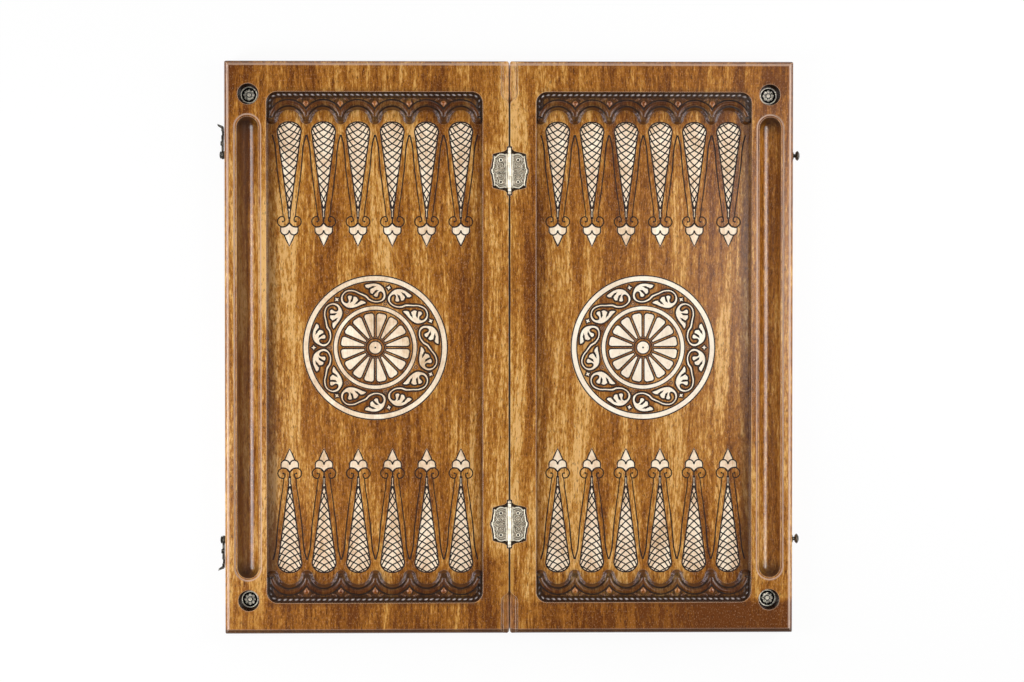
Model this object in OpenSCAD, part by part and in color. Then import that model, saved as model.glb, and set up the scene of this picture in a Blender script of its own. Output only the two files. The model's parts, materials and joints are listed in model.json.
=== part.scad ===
/* [Board] */
// Width of one half, from its seam side to its outer side
half_width = 297.5; // [293:0.5:330]
// Length of the board along the seam
board_length = 600; // [580:1:660]
// Thickness of each half
board_thickness = 30; // [26:0.5:40]
// Gap between the two halves when the board lies open
seam_gap = 1; // [0.4:0.1:2]
// Gap between the two playing faces when the board is closed
closing_gap = 0.5; // [0.3:0.1:2]
// Radius of the upright corners of each half
corner_radius = 2.5; // [1:0.1:4]
// Radius of the round moulding along the outer top edges
edge_radius = 3.9; // [2:0.1:5]
// Height of the small step at the inner side of that moulding
edge_step = 0.6; // [0.3:0.1:1.5]
// Radius along the outer edges of the back
back_radius = 2; // [0.5:0.1:4]

/* [Seam relief] */
// Width of the carved relief at each end of the seam
relief_width = 8; // [5:0.1:11]
// Straight length of the relief, from the end of the board
relief_length = 34; // [20:1:45]
// Length of the curved tongue that ends the relief
relief_tongue = 12; // [9:0.5:16]
// Depth of the relief along its inner edge
relief_step = 1.2; // [0.5:0.1:3]
// Depth of the relief at the seam
relief_depth = 5.5; // [3:0.1:8]

/* [Playing field] */
// Width of the rim between the seam side and the field
seam_rim = 27.5; // [24:0.5:34]
// Width of the sunk playing field
field_width = 226; // [216:1:232]
// Length of the sunk playing field
field_length = 535; // [520:1:550]
// Depth of the field's floor below the rim
field_depth = 11.5; // [9:0.5:14]
// Radius of the field's four corners
field_radius = 11.5; // [6:0.5:16]

/* [Carved arcade] */
// Number of arches and points along each end of a field
arch_count = 6; // [6:1:6]
// Depth of the carved ledge below the rim
ledge_drop = 4.5; // [3:0.1:6]
// Radius of each arch at the level of the ledge
arch_radius = 14.5; // [12:0.1:15]
// Distance from the field's side wall to the first arch's bay
arcade_margin = 5; // [3:0.5:8]
// Distance from the field's end wall to the centres of the arches
arch_inset = 30; // [27:0.5:34]
// Distance from the field's end wall to the centres of the rounded noses between the arches
nose_inset = 26.7; // [24:0.1:30]
// How far the carved wall under an arch slopes inwards
wall_slope = 2.4; // [0.5:0.1:3]
// Radius of the line engraved round each arch
rib_radius = 20.4; // [18.5:0.1:22]
// Width of the engraved lines
line_width = 0.9; // [0.5:0.1:1.4]
// Depth of the engraved lines
line_depth = 0.7; // [0.3:0.1:1.2]
// Width of the channel for the row of beads along the field's end wall
channel_width = 6; // [4:0.1:7]
// Depth of that channel below the ledge
channel_depth = 0.9; // [0.4:0.1:1.5]
// Distance from the field's end wall to where the channel ends on the side wall
channel_reach = 27; // [20:0.5:34]

/* [Inlaid points] */
// Thickness of every light wood inlay
inlay_thickness = 1.2; // [0.8:0.1:2.5]
// Width of the dark groove round every inlay
outline_groove = 0.6; // [0.3:0.1:0.8]
// Greatest width of a point
point_width = 24.4; // [18:0.2:26]
// Height of a point's rounded head, above its greatest width
point_head = 9.8; // [6:0.1:12]
// Length of a point's taper, below its greatest width
point_taper = 82; // [60:1:90]
// Width of a point's tip
point_tip = 2.2; // [1.5:0.1:4]
// Length of the thin stem below the tip
point_stem = 9; // [4:0.5:12]
// Width of the thin stem
stem_width = 1.2; // [0.8:0.1:2]
// Distance from the field's end wall to the top of a point's head
point_inset = 30.8; // [29:0.1:36]

/* [Fleurs] */
// Distance from a point's tip to the top of its fleur
fleur_gap = 13.7; // [12:0.1:17]
// Radius of a fleur's two lobes
fleur_lobe = 4.15; // [3.6:0.05:4.5]
// Distance of the lobes' centres from the fleur's middle line
fleur_spread = 4.7; // [4.3:0.1:5]
// Depth of the lobes' centres below the fleur's top
fleur_drop = 8.3; // [7.4:0.1:9]
// Half width of the kite below the lobes
kite_half = 4.8; // [3.5:0.1:5.5]
// Depth of the kite's widest place below the fleur's top
kite_shoulder = 13.6; // [12.8:0.1:15]
// Depth of the kite's tip below the fleur's top
kite_tip = 24.2; // [20:0.1:28]
// Radius of the two round scrolls that bound a fleur's upper edge
scroll_edge = 5.8; // [5:0.1:6.2]

/* [Medallion] */
// Outer radius of the medallion's outer light ring
medallion_radius = 75.5; // [73:0.1:78]
// Width of the outer light ring
outer_ring_width = 5.3; // [3:0.1:6]
// Outer radius of the inner light ring
inner_ring_radius = 43.7; // [42:0.1:44.5]
// Width of the inner light ring
inner_ring_width = 4.1; // [2.5:0.1:4.5]
// Number of petals
petal_count = 16; // [12:1:18]
// Radius of the petals' outer ends
petal_radius = 36.4; // [32:0.1:37]
// Radius at which the petals begin
petal_start = 11.4; // [10.5:0.1:13]
// Half of the gap between two petals
petal_gap = 1.4; // [1.1:0.05:1.6]
// Radius of the corners at a petal's outer end
petal_corner = 2.8; // [1:0.1:3]
// Radius of the light disc at the centre
hub_radius = 6.5; // [5:0.1:7.5]
// Radius of the circle that the scrolls follow
scroll_radius = 57.3; // [56.5:0.1:58]
// Angle between the middle of a scroll and each of its two curls
curl_angle = 15.4; // [15:0.1:15.6]
// Radius of the circle that the small stars stand on
star_radius = 64.6; // [63.5:0.1:65.2]
// Reach of a star's points
star_reach = 2.9; // [1.9:0.1:3]
// Radius of the notches between a star's points
star_waist = 1.5; // [0.9:0.1:1.7]

/* [Side troughs] */
// Width of a trough with its stepped lip
trough_width = 28.5; // [24:0.5:29]
// Width of the lip
trough_lip = 2.9; // [1.5:0.1:4]
// Depth of the lip below the rim
lip_depth = 1.5; // [0.5:0.1:3]
// Length of a trough with its lip
trough_length = 489; // [440:1:492]
// Distance from the field's outer wall to the trough's lip
trough_wall = 5.5; // [3:0.1:7]

/* [Corner wells] */
// Diameter of each corner well
well_width = 22; // [19:0.5:24]
// Depth of each corner well
well_depth = 14.5; // [12:0.5:18]
// Distance from the outer side to a well's centre
well_inset = 25; // [20:0.5:27]
// Distance from the end of the board to a well's centre
well_end_inset = 35; // [30:0.5:38]
// Diameter of the metal disc in a well
disc_width = 17.5; // [15:0.5:18.5]
// Thickness of the disc at its rim
disc_thickness = 2.2; // [1.5:0.1:3]
// Width of the disc's raised rim
disc_rim = 1; // [0.6:0.1:1.6]

/* [Hinges] */
// Distance from the middle of the board to each hinge's middle
hinge_offset = 185; // [150:1:200]
// Thickness of a hinge leaf
leaf_thickness = 1.2; // [0.8:0.1:2]
// Reach of a leaf from the hinge's axis
leaf_reach = 18.9; // [16:0.1:21]
// Half length of a leaf beside the barrel
leaf_half = 18.3; // [17:0.1:20]
// Depth of the ground that is sunk into a leaf's face
leaf_sink = 0.5; // [0.3:0.1:0.7]
// Width of the raised edge left round that ground
leaf_edge = 1.2; // [0.8:0.1:1.6]
// Width of the raised collar left round each pin's head
nail_collar = 0.9; // [0.5:0.1:1.2]
// Gap between a leaf and the edge of its mortise
mortise_gap = 1.3; // [0.5:0.1:1.6]
// Outer radius of the knuckles
knuckle_radius = 2.35; // [2:0.05:3]
// Length of each knuckle
knuckle_length = 11.6; // [9:0.1:12]
// Radius of the hinge pin
pin_radius = 1; // [0.7:0.05:1.3]
// Radial clearance of the pin in the knuckles
running_clearance = 0.05; // [0.02:0.01:0.1]
// Gap between neighbouring knuckles
knuckle_gap = 0.2; // [0.1:0.05:0.6]
// Radius of the ball at each end of the pin
finial_radius = 1.9; // [1.5:0.1:2.3]
// Clearance of the wood and of the other leaf round the knuckles
barrel_clearance = 0.35; // [0.2:0.05:0.8]
// Radius of a leaf pin's head
nail_head = 1.3; // [1:0.1:1.8]
// Height of a leaf pin's head
nail_head_height = 0.5; // [0.3:0.1:0.7]
// Radius of a leaf pin's shank
nail_shank = 0.8; // [0.5:0.1:1]
// Length of a leaf pin
nail_length = 9; // [6:0.5:14]

/* [Latches] */
// Distance from the middle of the board to each latch
latch_offset = 202; // [170:1:230]
// Depth of the latch pivots and catches below the rim
latch_drop = 11; // [10:0.5:15]
// Radius of the neck of a pivot stud or catch knob
neck_radius = 2; // [1.5:0.1:2.4]
// Radius of the washers
washer_radius = 4.1; // [3.5:0.1:5]
// Thickness of the washers
washer_thickness = 1.2; // [0.8:0.1:1.6]
// Thickness of a hook
hook_thickness = 2; // [1.5:0.1:2.5]
// Gap on either side of a hook
hook_side_gap = 0.3; // [0.2:0.05:0.6]
// Clearance of the hook's notch round the catch's neck
notch_clearance = 0.35; // [0.2:0.05:0.5]
// Half width of the hook's arm
arm_half = 2.6; // [2:0.1:3.2]
// Radius of the hook's eye
eye_radius = 4.4; // [4:0.1:5.5]
// Length of the hook past its notch
hook_nose = 7; // [6:0.1:9]
// How far the thumb tab and the knobs stand out from the side of the board
latch_reach = 7.9; // [7.2:0.1:9.5]
// Radius of a catch knob's head
knob_radius = 5.1; // [4.5:0.1:6]
// Radius of a pivot stud's head
stud_radius = 3.9; // [3.5:0.1:5]
// Length of the screw that holds a stud or a knob in the wood
shank_length = 14; // [10:1:20]
// Radius of that screw
shank_radius = 1.5; // [1:0.1:1.8]

/* [Hidden] */
$fn = 48;

wood = "#8a5427";
light_wood = "#ead2ae";
old_brass = "#a39a80";
dark_metal = "#4b4640";

// Overshoot of a cut past the face that it opens
cut = 1;

// Places across a half, measured from the middle of the seam
seam_side = seam_gap / 2;
outer_side = seam_side + half_width;
field_near = seam_side + seam_rim;
field_far = field_near + field_width;
field_middle = field_near + field_width / 2;
trough_middle = field_far + trough_wall + trough_width / 2;
well_middle = outer_side - well_inset;

// Places along the board, measured from its middle
board_end = board_length / 2;
field_end = field_length / 2;
arch_row = field_end - arch_inset;
nose_row = field_end - nose_inset;
channel_stop = field_end - channel_reach;
point_top = field_end - point_inset;
point_wide = point_top - point_head;
point_end = point_wide - point_taper;
fleur_top = point_end - fleur_gap;
well_row = board_end - well_end_inset;

// Levels
rim_level = board_thickness;
ledge_level = rim_level - ledge_drop;
floor_level = rim_level - field_depth;
pocket_level = floor_level - inlay_thickness;
axis_level = rim_level + closing_gap / 2;
latch_level = rim_level - latch_drop;
well_level = rim_level - well_depth;

// Arches, noses and points across the field, from its middle line
arch_pitch = (field_width - 2 * arcade_margin) / arch_count;
arch_places = [for (i = [0 : arch_count - 1]) (i - (arch_count - 1) / 2) * arch_pitch];
nose_places = [for (i = [0 : arch_count]) (i - arch_count / 2) * arch_pitch];
bay_chord = sqrt(pow(arch_radius, 2) - pow(nose_row - arch_row, 2));
nose_radius = arch_pitch / 2 - bay_chord;

// Steps of a curve drawn point by point
curve_steps = 8;

// A point on a smooth curve through b and c, with a and d as their neighbours
function smooth(a, b, c, d, t) = 0.5 * (2 * b + (c - a) * t
  + (2 * a - 5 * b + 4 * c - d) * t * t
  + (3 * b - a - 3 * c + d) * t * t * t);

// A closed smooth outline through the given points
function smooth_outline(pts, steps) = let (n = len(pts)) [
  for (i = [0 : n - 1], k = [0 : steps - 1])
    smooth(pts[(i + n - 1) % n], pts[i], pts[(i + 1) % n], pts[(i + 2) % n], k / steps)
];

function cross_sum(pts, i = 0) = i == len(pts) ? 0
  : pts[i][0] * pts[(i + 1) % len(pts)][1] - pts[i][1] * pts[(i + 1) % len(pts)][0]
  + cross_sum(pts, i + 1);

function side_normal(a, b) = let (d = b - a) [d[1], -d[0]] / norm(d);

// The outline moved outwards by a distance at every point
function grown(pts, by) = let (n = len(pts), turn = sign(cross_sum(pts))) [
  for (i = [0 : n - 1])
    let (before = side_normal(pts[(i + n - 1) % n], pts[i]),
      after = side_normal(pts[i], pts[(i + 1) % n]))
    pts[i] + turn * by * (before + after) / max(1 + before * after, 0.6)
];

// An arc of points about a centre, from one angle to another
function arc(centre, radius, from, to, steps) = [
  for (k = [0 : steps]) centre + radius * [cos(from + (to - from) * k / steps),
    sin(from + (to - from) * k / steps)]
];

function reversed(pts) = [for (i = [len(pts) - 1 : -1 : 0]) pts[i]];

function mirrored(pts) = [for (p = reversed(pts)) [-p[0], p[1]]];

// The points, and then their images across the x axis on the way back
function and_back(pts) = concat(pts, [for (p = reversed(pts)) [p[0], -p[1]]]);

// The four ends of both fields' rows: along the board and back
module both_ends() {
  children();
  mirror([0, 1, 0]) children();
}

module to_left() {
  mirror([1, 0, 0]) children();
}

module rounded_plate(width, length, radius) {
  translate([radius, -length / 2]) square([width - 2 * radius, length]);
  translate([0, radius - length / 2]) square([width, length - 2 * radius]);
  for (x = [radius, width - radius], y = [radius - length / 2, length / 2 - radius])
    translate([x, y]) circle(radius);
}

module stadium(width, length) {
  translate([-width / 2, -(length - width) / 2]) square([width, length - width]);
  for (side = [-1, 1]) translate([0, side * (length - width) / 2]) circle(width / 2);
}

// Waste outside a round moulding with a step, with the corner of the board at the origin
module moulding_waste(radius, step) {
  difference() {
    translate([-cut, -radius - step]) square([cut + radius, radius + step + cut]);
    translate([radius, -radius - step]) circle(radius);
  }
}

module side_moulding_waste(radius, step) {
  translate([outer_side, 0, 0]) rotate([90, 0, 0])
    linear_extrude(board_length + 2 * cut, center = true)
      mirror([1, 0]) moulding_waste(radius, step);
}

module end_moulding_waste(radius, step) {
  translate([seam_side - cut, board_end, 0]) rotate([90, 0, 90])
    linear_extrude(half_width + 2 * cut) mirror([1, 0]) moulding_waste(radius, step);
}

module board_blank() {
  difference() {
    linear_extrude(board_thickness) translate([seam_side, 0])
      rounded_plate(half_width, board_length, corner_radius);
    translate([0, 0, rim_level]) {
      side_moulding_waste(edge_radius, edge_step);
      both_ends() end_moulding_waste(edge_radius, edge_step);
    }
    mirror([0, 0, 1]) {
      side_moulding_waste(back_radius, 0);
      both_ends() end_moulding_waste(back_radius, 0);
    }
  }
}

// Outline of the relief beside the seam, at the end of the board
function relief_outline() = let (
    inner = seam_side + relief_width,
    start = board_end - relief_length,
    bend = relief_width - 1.5,
    heel = [inner - bend, start]
  ) concat(
    [[-cut, board_end + cut], [inner, board_end + cut]],
    arc(heel, bend, 0, -66, curve_steps),
    [[seam_side + 1.2, start - bend - 2.2], [seam_side, start - relief_tongue],
      [-cut, start - relief_tongue]]
  );

module seam_relief_waste() {
  intersection() {
    translate([0, 0, rim_level - relief_depth - cut])
      linear_extrude(relief_depth + 2 * cut) polygon(relief_outline());
    translate([0, board_end + cut, 0]) rotate([90, 0, 0])
      linear_extrude(relief_length + relief_tongue + 2 * cut)
        polygon([
          [-cut, rim_level + cut],
          [seam_side + relief_width, rim_level + cut],
          [seam_side + relief_width, rim_level - relief_step],
          [seam_side + relief_width - 2, rim_level - relief_step],
          [seam_side, rim_level - relief_depth],
          [-cut, rim_level - relief_depth]
        ]);
  }
}

// A sloping round wall: small radius at the floor, large at the ledge
module arch_waste() {
  rise = ledge_level - floor_level;
  cylinder(h = rise, r1 = arch_radius - wall_slope, r2 = arch_radius);
}

module nose() {
  rise = ledge_level - floor_level;
  cylinder(h = rise, r1 = nose_radius + wall_slope, r2 = nose_radius);
}

module field_waste() {
  // Down to the ledge
  translate([field_near, 0, ledge_level]) linear_extrude(ledge_drop + cut)
    rounded_plate(field_width, field_length, field_radius);
  // From the ledge to the floor, past the arches and round the noses
  difference() {
    union() {
      translate([field_near, -nose_row, floor_level])
        cube([field_width, 2 * nose_row, field_depth - ledge_drop]);
      both_ends() for (x = arch_places)
        translate([field_middle + x, arch_row, floor_level]) arch_waste();
    }
    both_ends() for (x = nose_places)
      translate([field_middle + x, nose_row, floor_level]) nose();
  }
}

module channel_waste() {
  translate([0, 0, ledge_level - channel_depth]) linear_extrude(channel_depth + cut)
    intersection() {
      difference() {
        translate([field_near, 0]) rounded_plate(field_width, field_length, field_radius);
        translate([field_near + channel_width, 0])
          rounded_plate(field_width - 2 * channel_width, field_length - 2 * channel_width,
            field_radius - channel_width + 1.5);
      }
      both_ends() translate([field_near, channel_stop]) square([field_width, channel_reach]);
    }
}

// The engraved line round each arch, which meets its neighbours halfway
module rib_lines() {
  meet = sqrt(pow(rib_radius, 2) - pow(arch_pitch / 2, 2));
  both_ends() for (x = arch_places)
    translate([field_middle + x, arch_row, ledge_level - line_depth])
      linear_extrude(line_depth + cut) intersection() {
        difference() {
          circle(rib_radius + line_width / 2);
          circle(rib_radius - line_width / 2);
        }
        translate([-arch_pitch / 2, meet - line_width]) square([arch_pitch, rib_radius]);
      }
}

module trough_waste() {
  groove_width = trough_width - 2 * trough_lip;
  groove_length = trough_length - 2 * trough_lip;
  run = groove_length - groove_width;
  translate([trough_middle, 0, rim_level - lip_depth]) {
    linear_extrude(lip_depth + cut) stadium(trough_width, trough_length);
    rotate([90, 0, 0]) cylinder(h = run, r = groove_width / 2, center = true);
    both_ends() translate([0, run / 2, 0]) sphere(groove_width / 2);
  }
}

module well_waste() {
  both_ends() translate([well_middle, well_row, well_level])
    cylinder(h = well_depth + cut, r = well_width / 2);
}

// Upper half of a point's outline, on the right of its middle line, from its head to its stem
function point_half(by) = concat(
  [for (k = [0 : curve_steps]) let (a = 90 - 90 * k / curve_steps)
    [(point_width / 2 + by) * cos(a), point_wide + (point_head + by) * sin(a)]],
  [[point_tip / 2 + by, point_end], [stem_width / 2 + by, point_end - 2],
    [stem_width / 2 + by, point_end - point_stem - by]]
);

module point_shape(by = 0) {
  half = point_half(by);
  polygon(concat(half, [for (p = mirrored(half)) if (p[0] < 0) p]));
}

// The eye of the right one of the round scrolls, measured from the fleur's top
scroll_eye = [6.5, 1.2];

module fleur_lobes(by = 0) {
  root = [fleur_spread + 0.7, fleur_lobe * 0.5 - fleur_drop];
  difference() {
    union() {
      for (side = [-1, 1]) {
        translate([side * fleur_spread, -fleur_drop]) circle(fleur_lobe + by);
        // The lobe's outer side, straight up to the scroll
        translate([side * (fleur_spread + fleur_lobe / 2), fleur_lobe * 0.4 - fleur_drop])
          square([fleur_lobe + 2 * by, fleur_lobe * 0.8 + 2 * by], center = true);
      }
      polygon([[0, 1.2 * by], [-root[0], root[1]], [0, -fleur_drop], root]);
    }
    for (side = [-1, 1]) translate([side * scroll_eye[0], scroll_eye[1]])
      circle(scroll_edge - by);
  }
}

module kite_shape(by = 0) {
  level = by / 2 - kite_shoulder;
  belly = [kite_half * 0.53 + by, -(kite_shoulder + kite_tip) / 2];
  polygon([[0, 1.6 * by - fleur_drop], [-kite_half - by, level], [-belly[0], belly[1]],
    [0, -kite_tip - 1.6 * by], belly, [kite_half + by, level]]);
}

module fleur_kite() {
  difference() {
    kite_shape();
    for (side = [-1, 1]) translate([side * fleur_spread, -fleur_drop])
      circle(fleur_lobe + outline_groove);
  }
}

module at_points() {
  both_ends() for (x = arch_places) translate([field_middle + x, 0]) children();
}

module point_pockets() {
  translate([0, 0, pocket_level]) linear_extrude(inlay_thickness + cut) {
    at_points() point_shape(outline_groove);
    at_points() translate([0, fleur_top]) {
      fleur_lobes(outline_groove);
      kite_shape(outline_groove);
    }
  }
}

module medallion_pocket() {
  translate([field_middle, 0, pocket_level])
    cylinder(h = inlay_thickness + cut, r = medallion_radius + outline_groove);
}

// A hinge leaf's outline on the right of the axis, drawn from the top down
function leaf_outline() = let (
    upper = [[1.6, leaf_half], [5, leaf_half - 1], [7.5, leaf_half - 0.3], [10, leaf_half - 0.2],
      [12.4, leaf_half - 1.5], [leaf_reach - 4.4, leaf_half - 3.4], [leaf_reach - 2.6, leaf_half - 2.6],
      [leaf_reach - 2.7, leaf_half - 6.5], [leaf_reach - 1.9, 7.5], [leaf_reach - 1.5, 3.6],
      [leaf_reach - 0.3, 1.7], [leaf_reach, 0.7]]
  ) and_back(upper);

function mortise_outline() = let (
    half = leaf_half + mortise_gap,
    reach = leaf_reach + mortise_gap,
    upper = [[-cut, half + 8], [seam_side, half + 8], [1.4, half + 5.2], [2.9, half + 2.8],
      [5, half + 1.1], [8, half + 0.2], [11.5, half - 0.4], [reach - 4.6, half - 1.5],
      [reach - 2.7, half - 2.3], [reach - 2.5, half - 6.5], [reach - 1.8, 8], [reach - 1.2, 4.4],
      [reach, 1.9]]
  ) and_back(upper);

nail_places = [for (x = [9], y = [-11.5, 11.5]) [x, y]];
web_start = 1;
web_width = knuckle_radius + barrel_clearance;
finial_end = 1.5 * knuckle_length + 4 * knuckle_gap + 3.6 + finial_radius * 1.8;

module barrel(radius, length) {
  translate([0, 0, axis_level]) rotate([90, 0, 0])
    cylinder(h = length, r = radius, center = true);
}

module at_hinges() {
  for (y = [-hinge_offset, hinge_offset]) translate([0, y, 0]) children();
}

module hinge_mortises() {
  at_hinges() {
    translate([0, 0, rim_level - leaf_thickness]) linear_extrude(leaf_thickness + cut)
      polygon(mortise_outline());
    barrel(knuckle_radius + barrel_clearance, 2 * (finial_end + barrel_clearance));
    for (p = nail_places) translate([p[0], p[1], rim_level - nail_length])
      cylinder(h = nail_length, r = nail_shank);
  }
}

module latch_holes() {
  both_ends() translate([outer_side - shank_length, latch_offset, latch_level])
    rotate([0, 90, 0]) cylinder(h = shank_length + cut, r = shank_radius);
}

module half_slab() {
  difference() {
    board_blank();
    both_ends() seam_relief_waste();
    field_waste();
    channel_waste();
    rib_lines();
    trough_waste();
    well_waste();
    point_pockets();
    medallion_pocket();
    hinge_mortises();
    latch_holes();
  }
}

module left_slab() {
  color(wood) to_left() half_slab();
}

module right_slab() {
  color(wood) half_slab();
}

module inlay() {
  translate([0, 0, pocket_level]) linear_extrude(inlay_thickness) children();
}

module half_points() {
  inlay() at_points() point_shape();
}

module left_point_inlays() {
  color(light_wood) to_left() half_points();
}

module right_point_inlays() {
  color(light_wood) half_points();
}

module half_fleurs() {
  inlay() at_points() translate([0, fleur_top]) {
    fleur_lobes();
    fleur_kite();
  }
}

module left_fleur_inlays() {
  color(light_wood) to_left() half_fleurs();
}

module right_fleur_inlays() {
  color(light_wood) half_fleurs();
}

// One petal, pointing along x, with straight sides beside the gaps and two round corners
function petal_side(by) = let (
    half_angle = 180 / petal_count,
    gap = petal_gap - by,
    corner = petal_corner + by,
    reach = petal_radius + by - corner,
    lean = half_angle - asin((gap + corner) / reach),
    start = half_angle - asin(gap / (petal_start - by))
  ) concat(
    [(petal_start - by) * [cos(start), sin(start)]],
    arc(reach * [cos(lean), sin(lean)], corner, 90 + half_angle, lean, curve_steps / 2)
  );

module petals(by = 0) {
  for (k = [0 : petal_count - 1]) rotate(360 / petal_count * (k + 0.5))
    polygon(and_back(petal_side(by)));
}

// One curl of a scroll: distance along the circle away from the scroll's middle, then outwards.
// The stem's outer edge comes first, then the leaf's back, its tip and its lobes, the eye
// and the stem's inner edge.
curl = [
  [-13.1, 3], [-9.8, 6.7], [-4.4, 9.6], [0.5, 9.9], [5, 8.2], [7.9, 5.2], [8.7, 1.5],
  [7.5, -3.2], [5, -7.2], [0.3, -9.7], [-4.9, -10.4], [-9.5, -10], [-14.1, -9.4],
  [-12.2, -6.2], [-8.5, -4.5], [-8.3, -1.7], [-7.2, 0.3], [-4.8, 1.4],
  [-3.5, 3.2], [-1.6, 4.2], [0.2, 3.7], [0.8, 1.9], [1.3, -0.7], [3.4, -1.9], [5.4, -0.4],
  [6.1, 2.4], [4.3, 6.4], [0.3, 8.1], [-3.7, 7.8], [-8.5, 5.1], [-11.5, 1.6]
];

// Two veins cut into a curl's leaf, in the same measure
veins = [
  [[-9.4, -5.9], [-5.4, -6.9], [-2, -7.1], [-5.2, -6], [-8.6, -4.1]],
  [[-5.6, 1.6], [-3.6, -0.9], [-1.4, -2.8], [1, -3.2], [-1.1, -1.9], [-2.9, 0], [-4.4, 2.1]]
];

scroll_count = 7;
// Which scrolls run the other way round
scroll_turns = [1, -1, 1, 1, -1, 1, -1];

function on_circle(p, side, turn) = let (
    radius = scroll_radius + side * p[1],
    angle = side * (curl_angle + p[0] / radius * 180 / PI)
  ) radius * [cos(angle), turn * sin(angle)];

function scroll_outline(turn) = smooth_outline([
  for (side = [1, -1], p = curl) on_circle(p, side, turn)
], 2);

module scrolls(by = 0) {
  for (k = [0 : scroll_count - 1]) rotate(360 / scroll_count * (k + 0.5)) difference() {
    polygon(by == 0 ? scroll_outline(scroll_turns[k]) : grown(scroll_outline(scroll_turns[k]), by));
    if (by == 0) for (side = [1, -1], vein = veins)
      polygon([for (p = vein) on_circle(p, side, scroll_turns[k])]);
  }
}

// A star with four points
function star(by) = [
  for (i = [0 : 7]) let (reach = i % 2 == 0 ? star_reach + 1.5 * by : star_waist + by)
    reach * [cos(45 * i), sin(45 * i)]
];

module stars(by = 0) {
  for (k = [0 : scroll_count - 1]) rotate(360 / scroll_count * k)
    translate([star_radius, 0]) polygon(star(by));
}

// Small rings engraved near the inner light ring
module dots() {
  for (k = [0 : scroll_count - 1]) rotate(360 / scroll_count * k)
    translate([inner_ring_radius + outline_groove + 3.2, 0]) difference() {
      circle(1.9);
      circle(1.2);
    }
}

module medallion_ground() {
  difference() {
    inlay() translate([field_middle, 0]) {
      difference() {
        circle(medallion_radius - outer_ring_width - outline_groove);
        circle(inner_ring_radius + outline_groove);
        scrolls(outline_groove);
        stars(outline_groove);
      }
      difference() {
        circle(inner_ring_radius - inner_ring_width - outline_groove);
        petals(outline_groove);
        circle(hub_radius + outline_groove);
      }
    }
    translate([field_middle, 0, floor_level - line_depth]) linear_extrude(line_depth + cut) dots();
  }
}

module left_medallion_ground() {
  color(wood) to_left() medallion_ground();
}

module right_medallion_ground() {
  color(wood) medallion_ground();
}

module ring(outer, width) {
  difference() {
    circle(outer);
    circle(outer - width);
  }
}

module medallion_rings() {
  inlay() translate([field_middle, 0]) {
    ring(medallion_radius, outer_ring_width);
    ring(inner_ring_radius, inner_ring_width);
    circle(hub_radius);
  }
}

module left_medallion_rings() {
  color(light_wood) to_left() medallion_rings();
}

module right_medallion_rings() {
  color(light_wood) medallion_rings();
}

module medallion_petals() {
  inlay() translate([field_middle, 0]) petals();
}

module left_medallion_petals() {
  color(light_wood) to_left() medallion_petals();
}

module right_medallion_petals() {
  color(light_wood) medallion_petals();
}

module medallion_scrolls() {
  inlay() translate([field_middle, 0]) {
    scrolls();
    stars();
  }
}

module left_medallion_scrolls() {
  color(light_wood) to_left() medallion_scrolls();
}

module right_medallion_scrolls() {
  color(light_wood) medallion_scrolls();
}

// The ground sunk into a leaf's face, clear of the knuckles and of the pins' collars
module leaf_ground() {
  difference() {
    intersection() {
      polygon(reversed(grown(leaf_outline(), -leaf_edge)));
      translate([web_start + 1.1 * web_width, -leaf_half]) square([leaf_reach, 2 * leaf_half]);
    }
    for (p = nail_places) translate(p) circle(nail_head + nail_collar);
  }
}

// A leaf at the origin, with its knuckles at the given places along the axis
module hinge_leaf(knuckles) {
  difference() {
    union() {
      difference() {
        translate([0, 0, rim_level - leaf_thickness]) linear_extrude(leaf_thickness)
          polygon(leaf_outline());
        barrel(knuckle_radius + barrel_clearance, 2 * leaf_half + 2 * cut);
        translate([0, 0, rim_level - leaf_sink]) linear_extrude(leaf_sink + cut) leaf_ground();
      }
      for (y = knuckles) {
        translate([0, y, 0]) barrel(knuckle_radius, knuckle_length);
        translate([web_start, y - knuckle_length / 2, rim_level - leaf_thickness])
          cube([web_width, knuckle_length, leaf_thickness]);
      }
    }
    barrel(pin_radius + running_clearance, 2 * leaf_half + 2 * cut);
    for (p = nail_places) translate([p[0], p[1], 0]) {
      translate([0, 0, rim_level - leaf_thickness - cut])
        cylinder(h = leaf_thickness + 2 * cut, r = nail_shank);
      translate([0, 0, rim_level - nail_head_height]) cylinder(h = nail_head_height + cut, r = nail_head);
    }
  }
}

module left_leaf() {
  color(old_brass) to_left()
    hinge_leaf([-knuckle_length - knuckle_gap, knuckle_length + knuckle_gap]);
}

module right_leaf() {
  color(old_brass) hinge_leaf([0]);
}

module hinge_pin() {
  collar_start = 1.5 * knuckle_length + 2 * knuckle_gap;
  color(old_brass) translate([0, 0, axis_level]) {
    rotate([90, 0, 0]) cylinder(h = 2 * collar_start + 2, r = pin_radius, center = true);
    both_ends() {
      translate([0, collar_start, 0]) rotate([-90, 0, 0]) cylinder(h = 3.6, r = finial_radius);
      translate([0, collar_start + 3.6 + finial_radius * 0.8, 0]) sphere(finial_radius);
    }
  }
}

module nails() {
  color(dark_metal) for (p = nail_places) translate([p[0], p[1], rim_level]) {
    translate([0, 0, -nail_head_height]) cylinder(h = nail_head_height, r = nail_head);
    translate([0, 0, -nail_length]) cylinder(h = nail_length, r = nail_shank);
  }
}

module upper_hinge_left_leaf() {
  translate([0, hinge_offset, 0]) left_leaf();
}

module upper_hinge_right_leaf() {
  translate([0, hinge_offset, 0]) right_leaf();
}

module upper_hinge_pin() {
  translate([0, hinge_offset, 0]) hinge_pin();
}

module upper_hinge_left_nails() {
  translate([0, hinge_offset, 0]) to_left() nails();
}

module upper_hinge_right_nails() {
  translate([0, hinge_offset, 0]) nails();
}

module lower_hinge_left_leaf() {
  translate([0, -hinge_offset, 0]) left_leaf();
}

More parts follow.
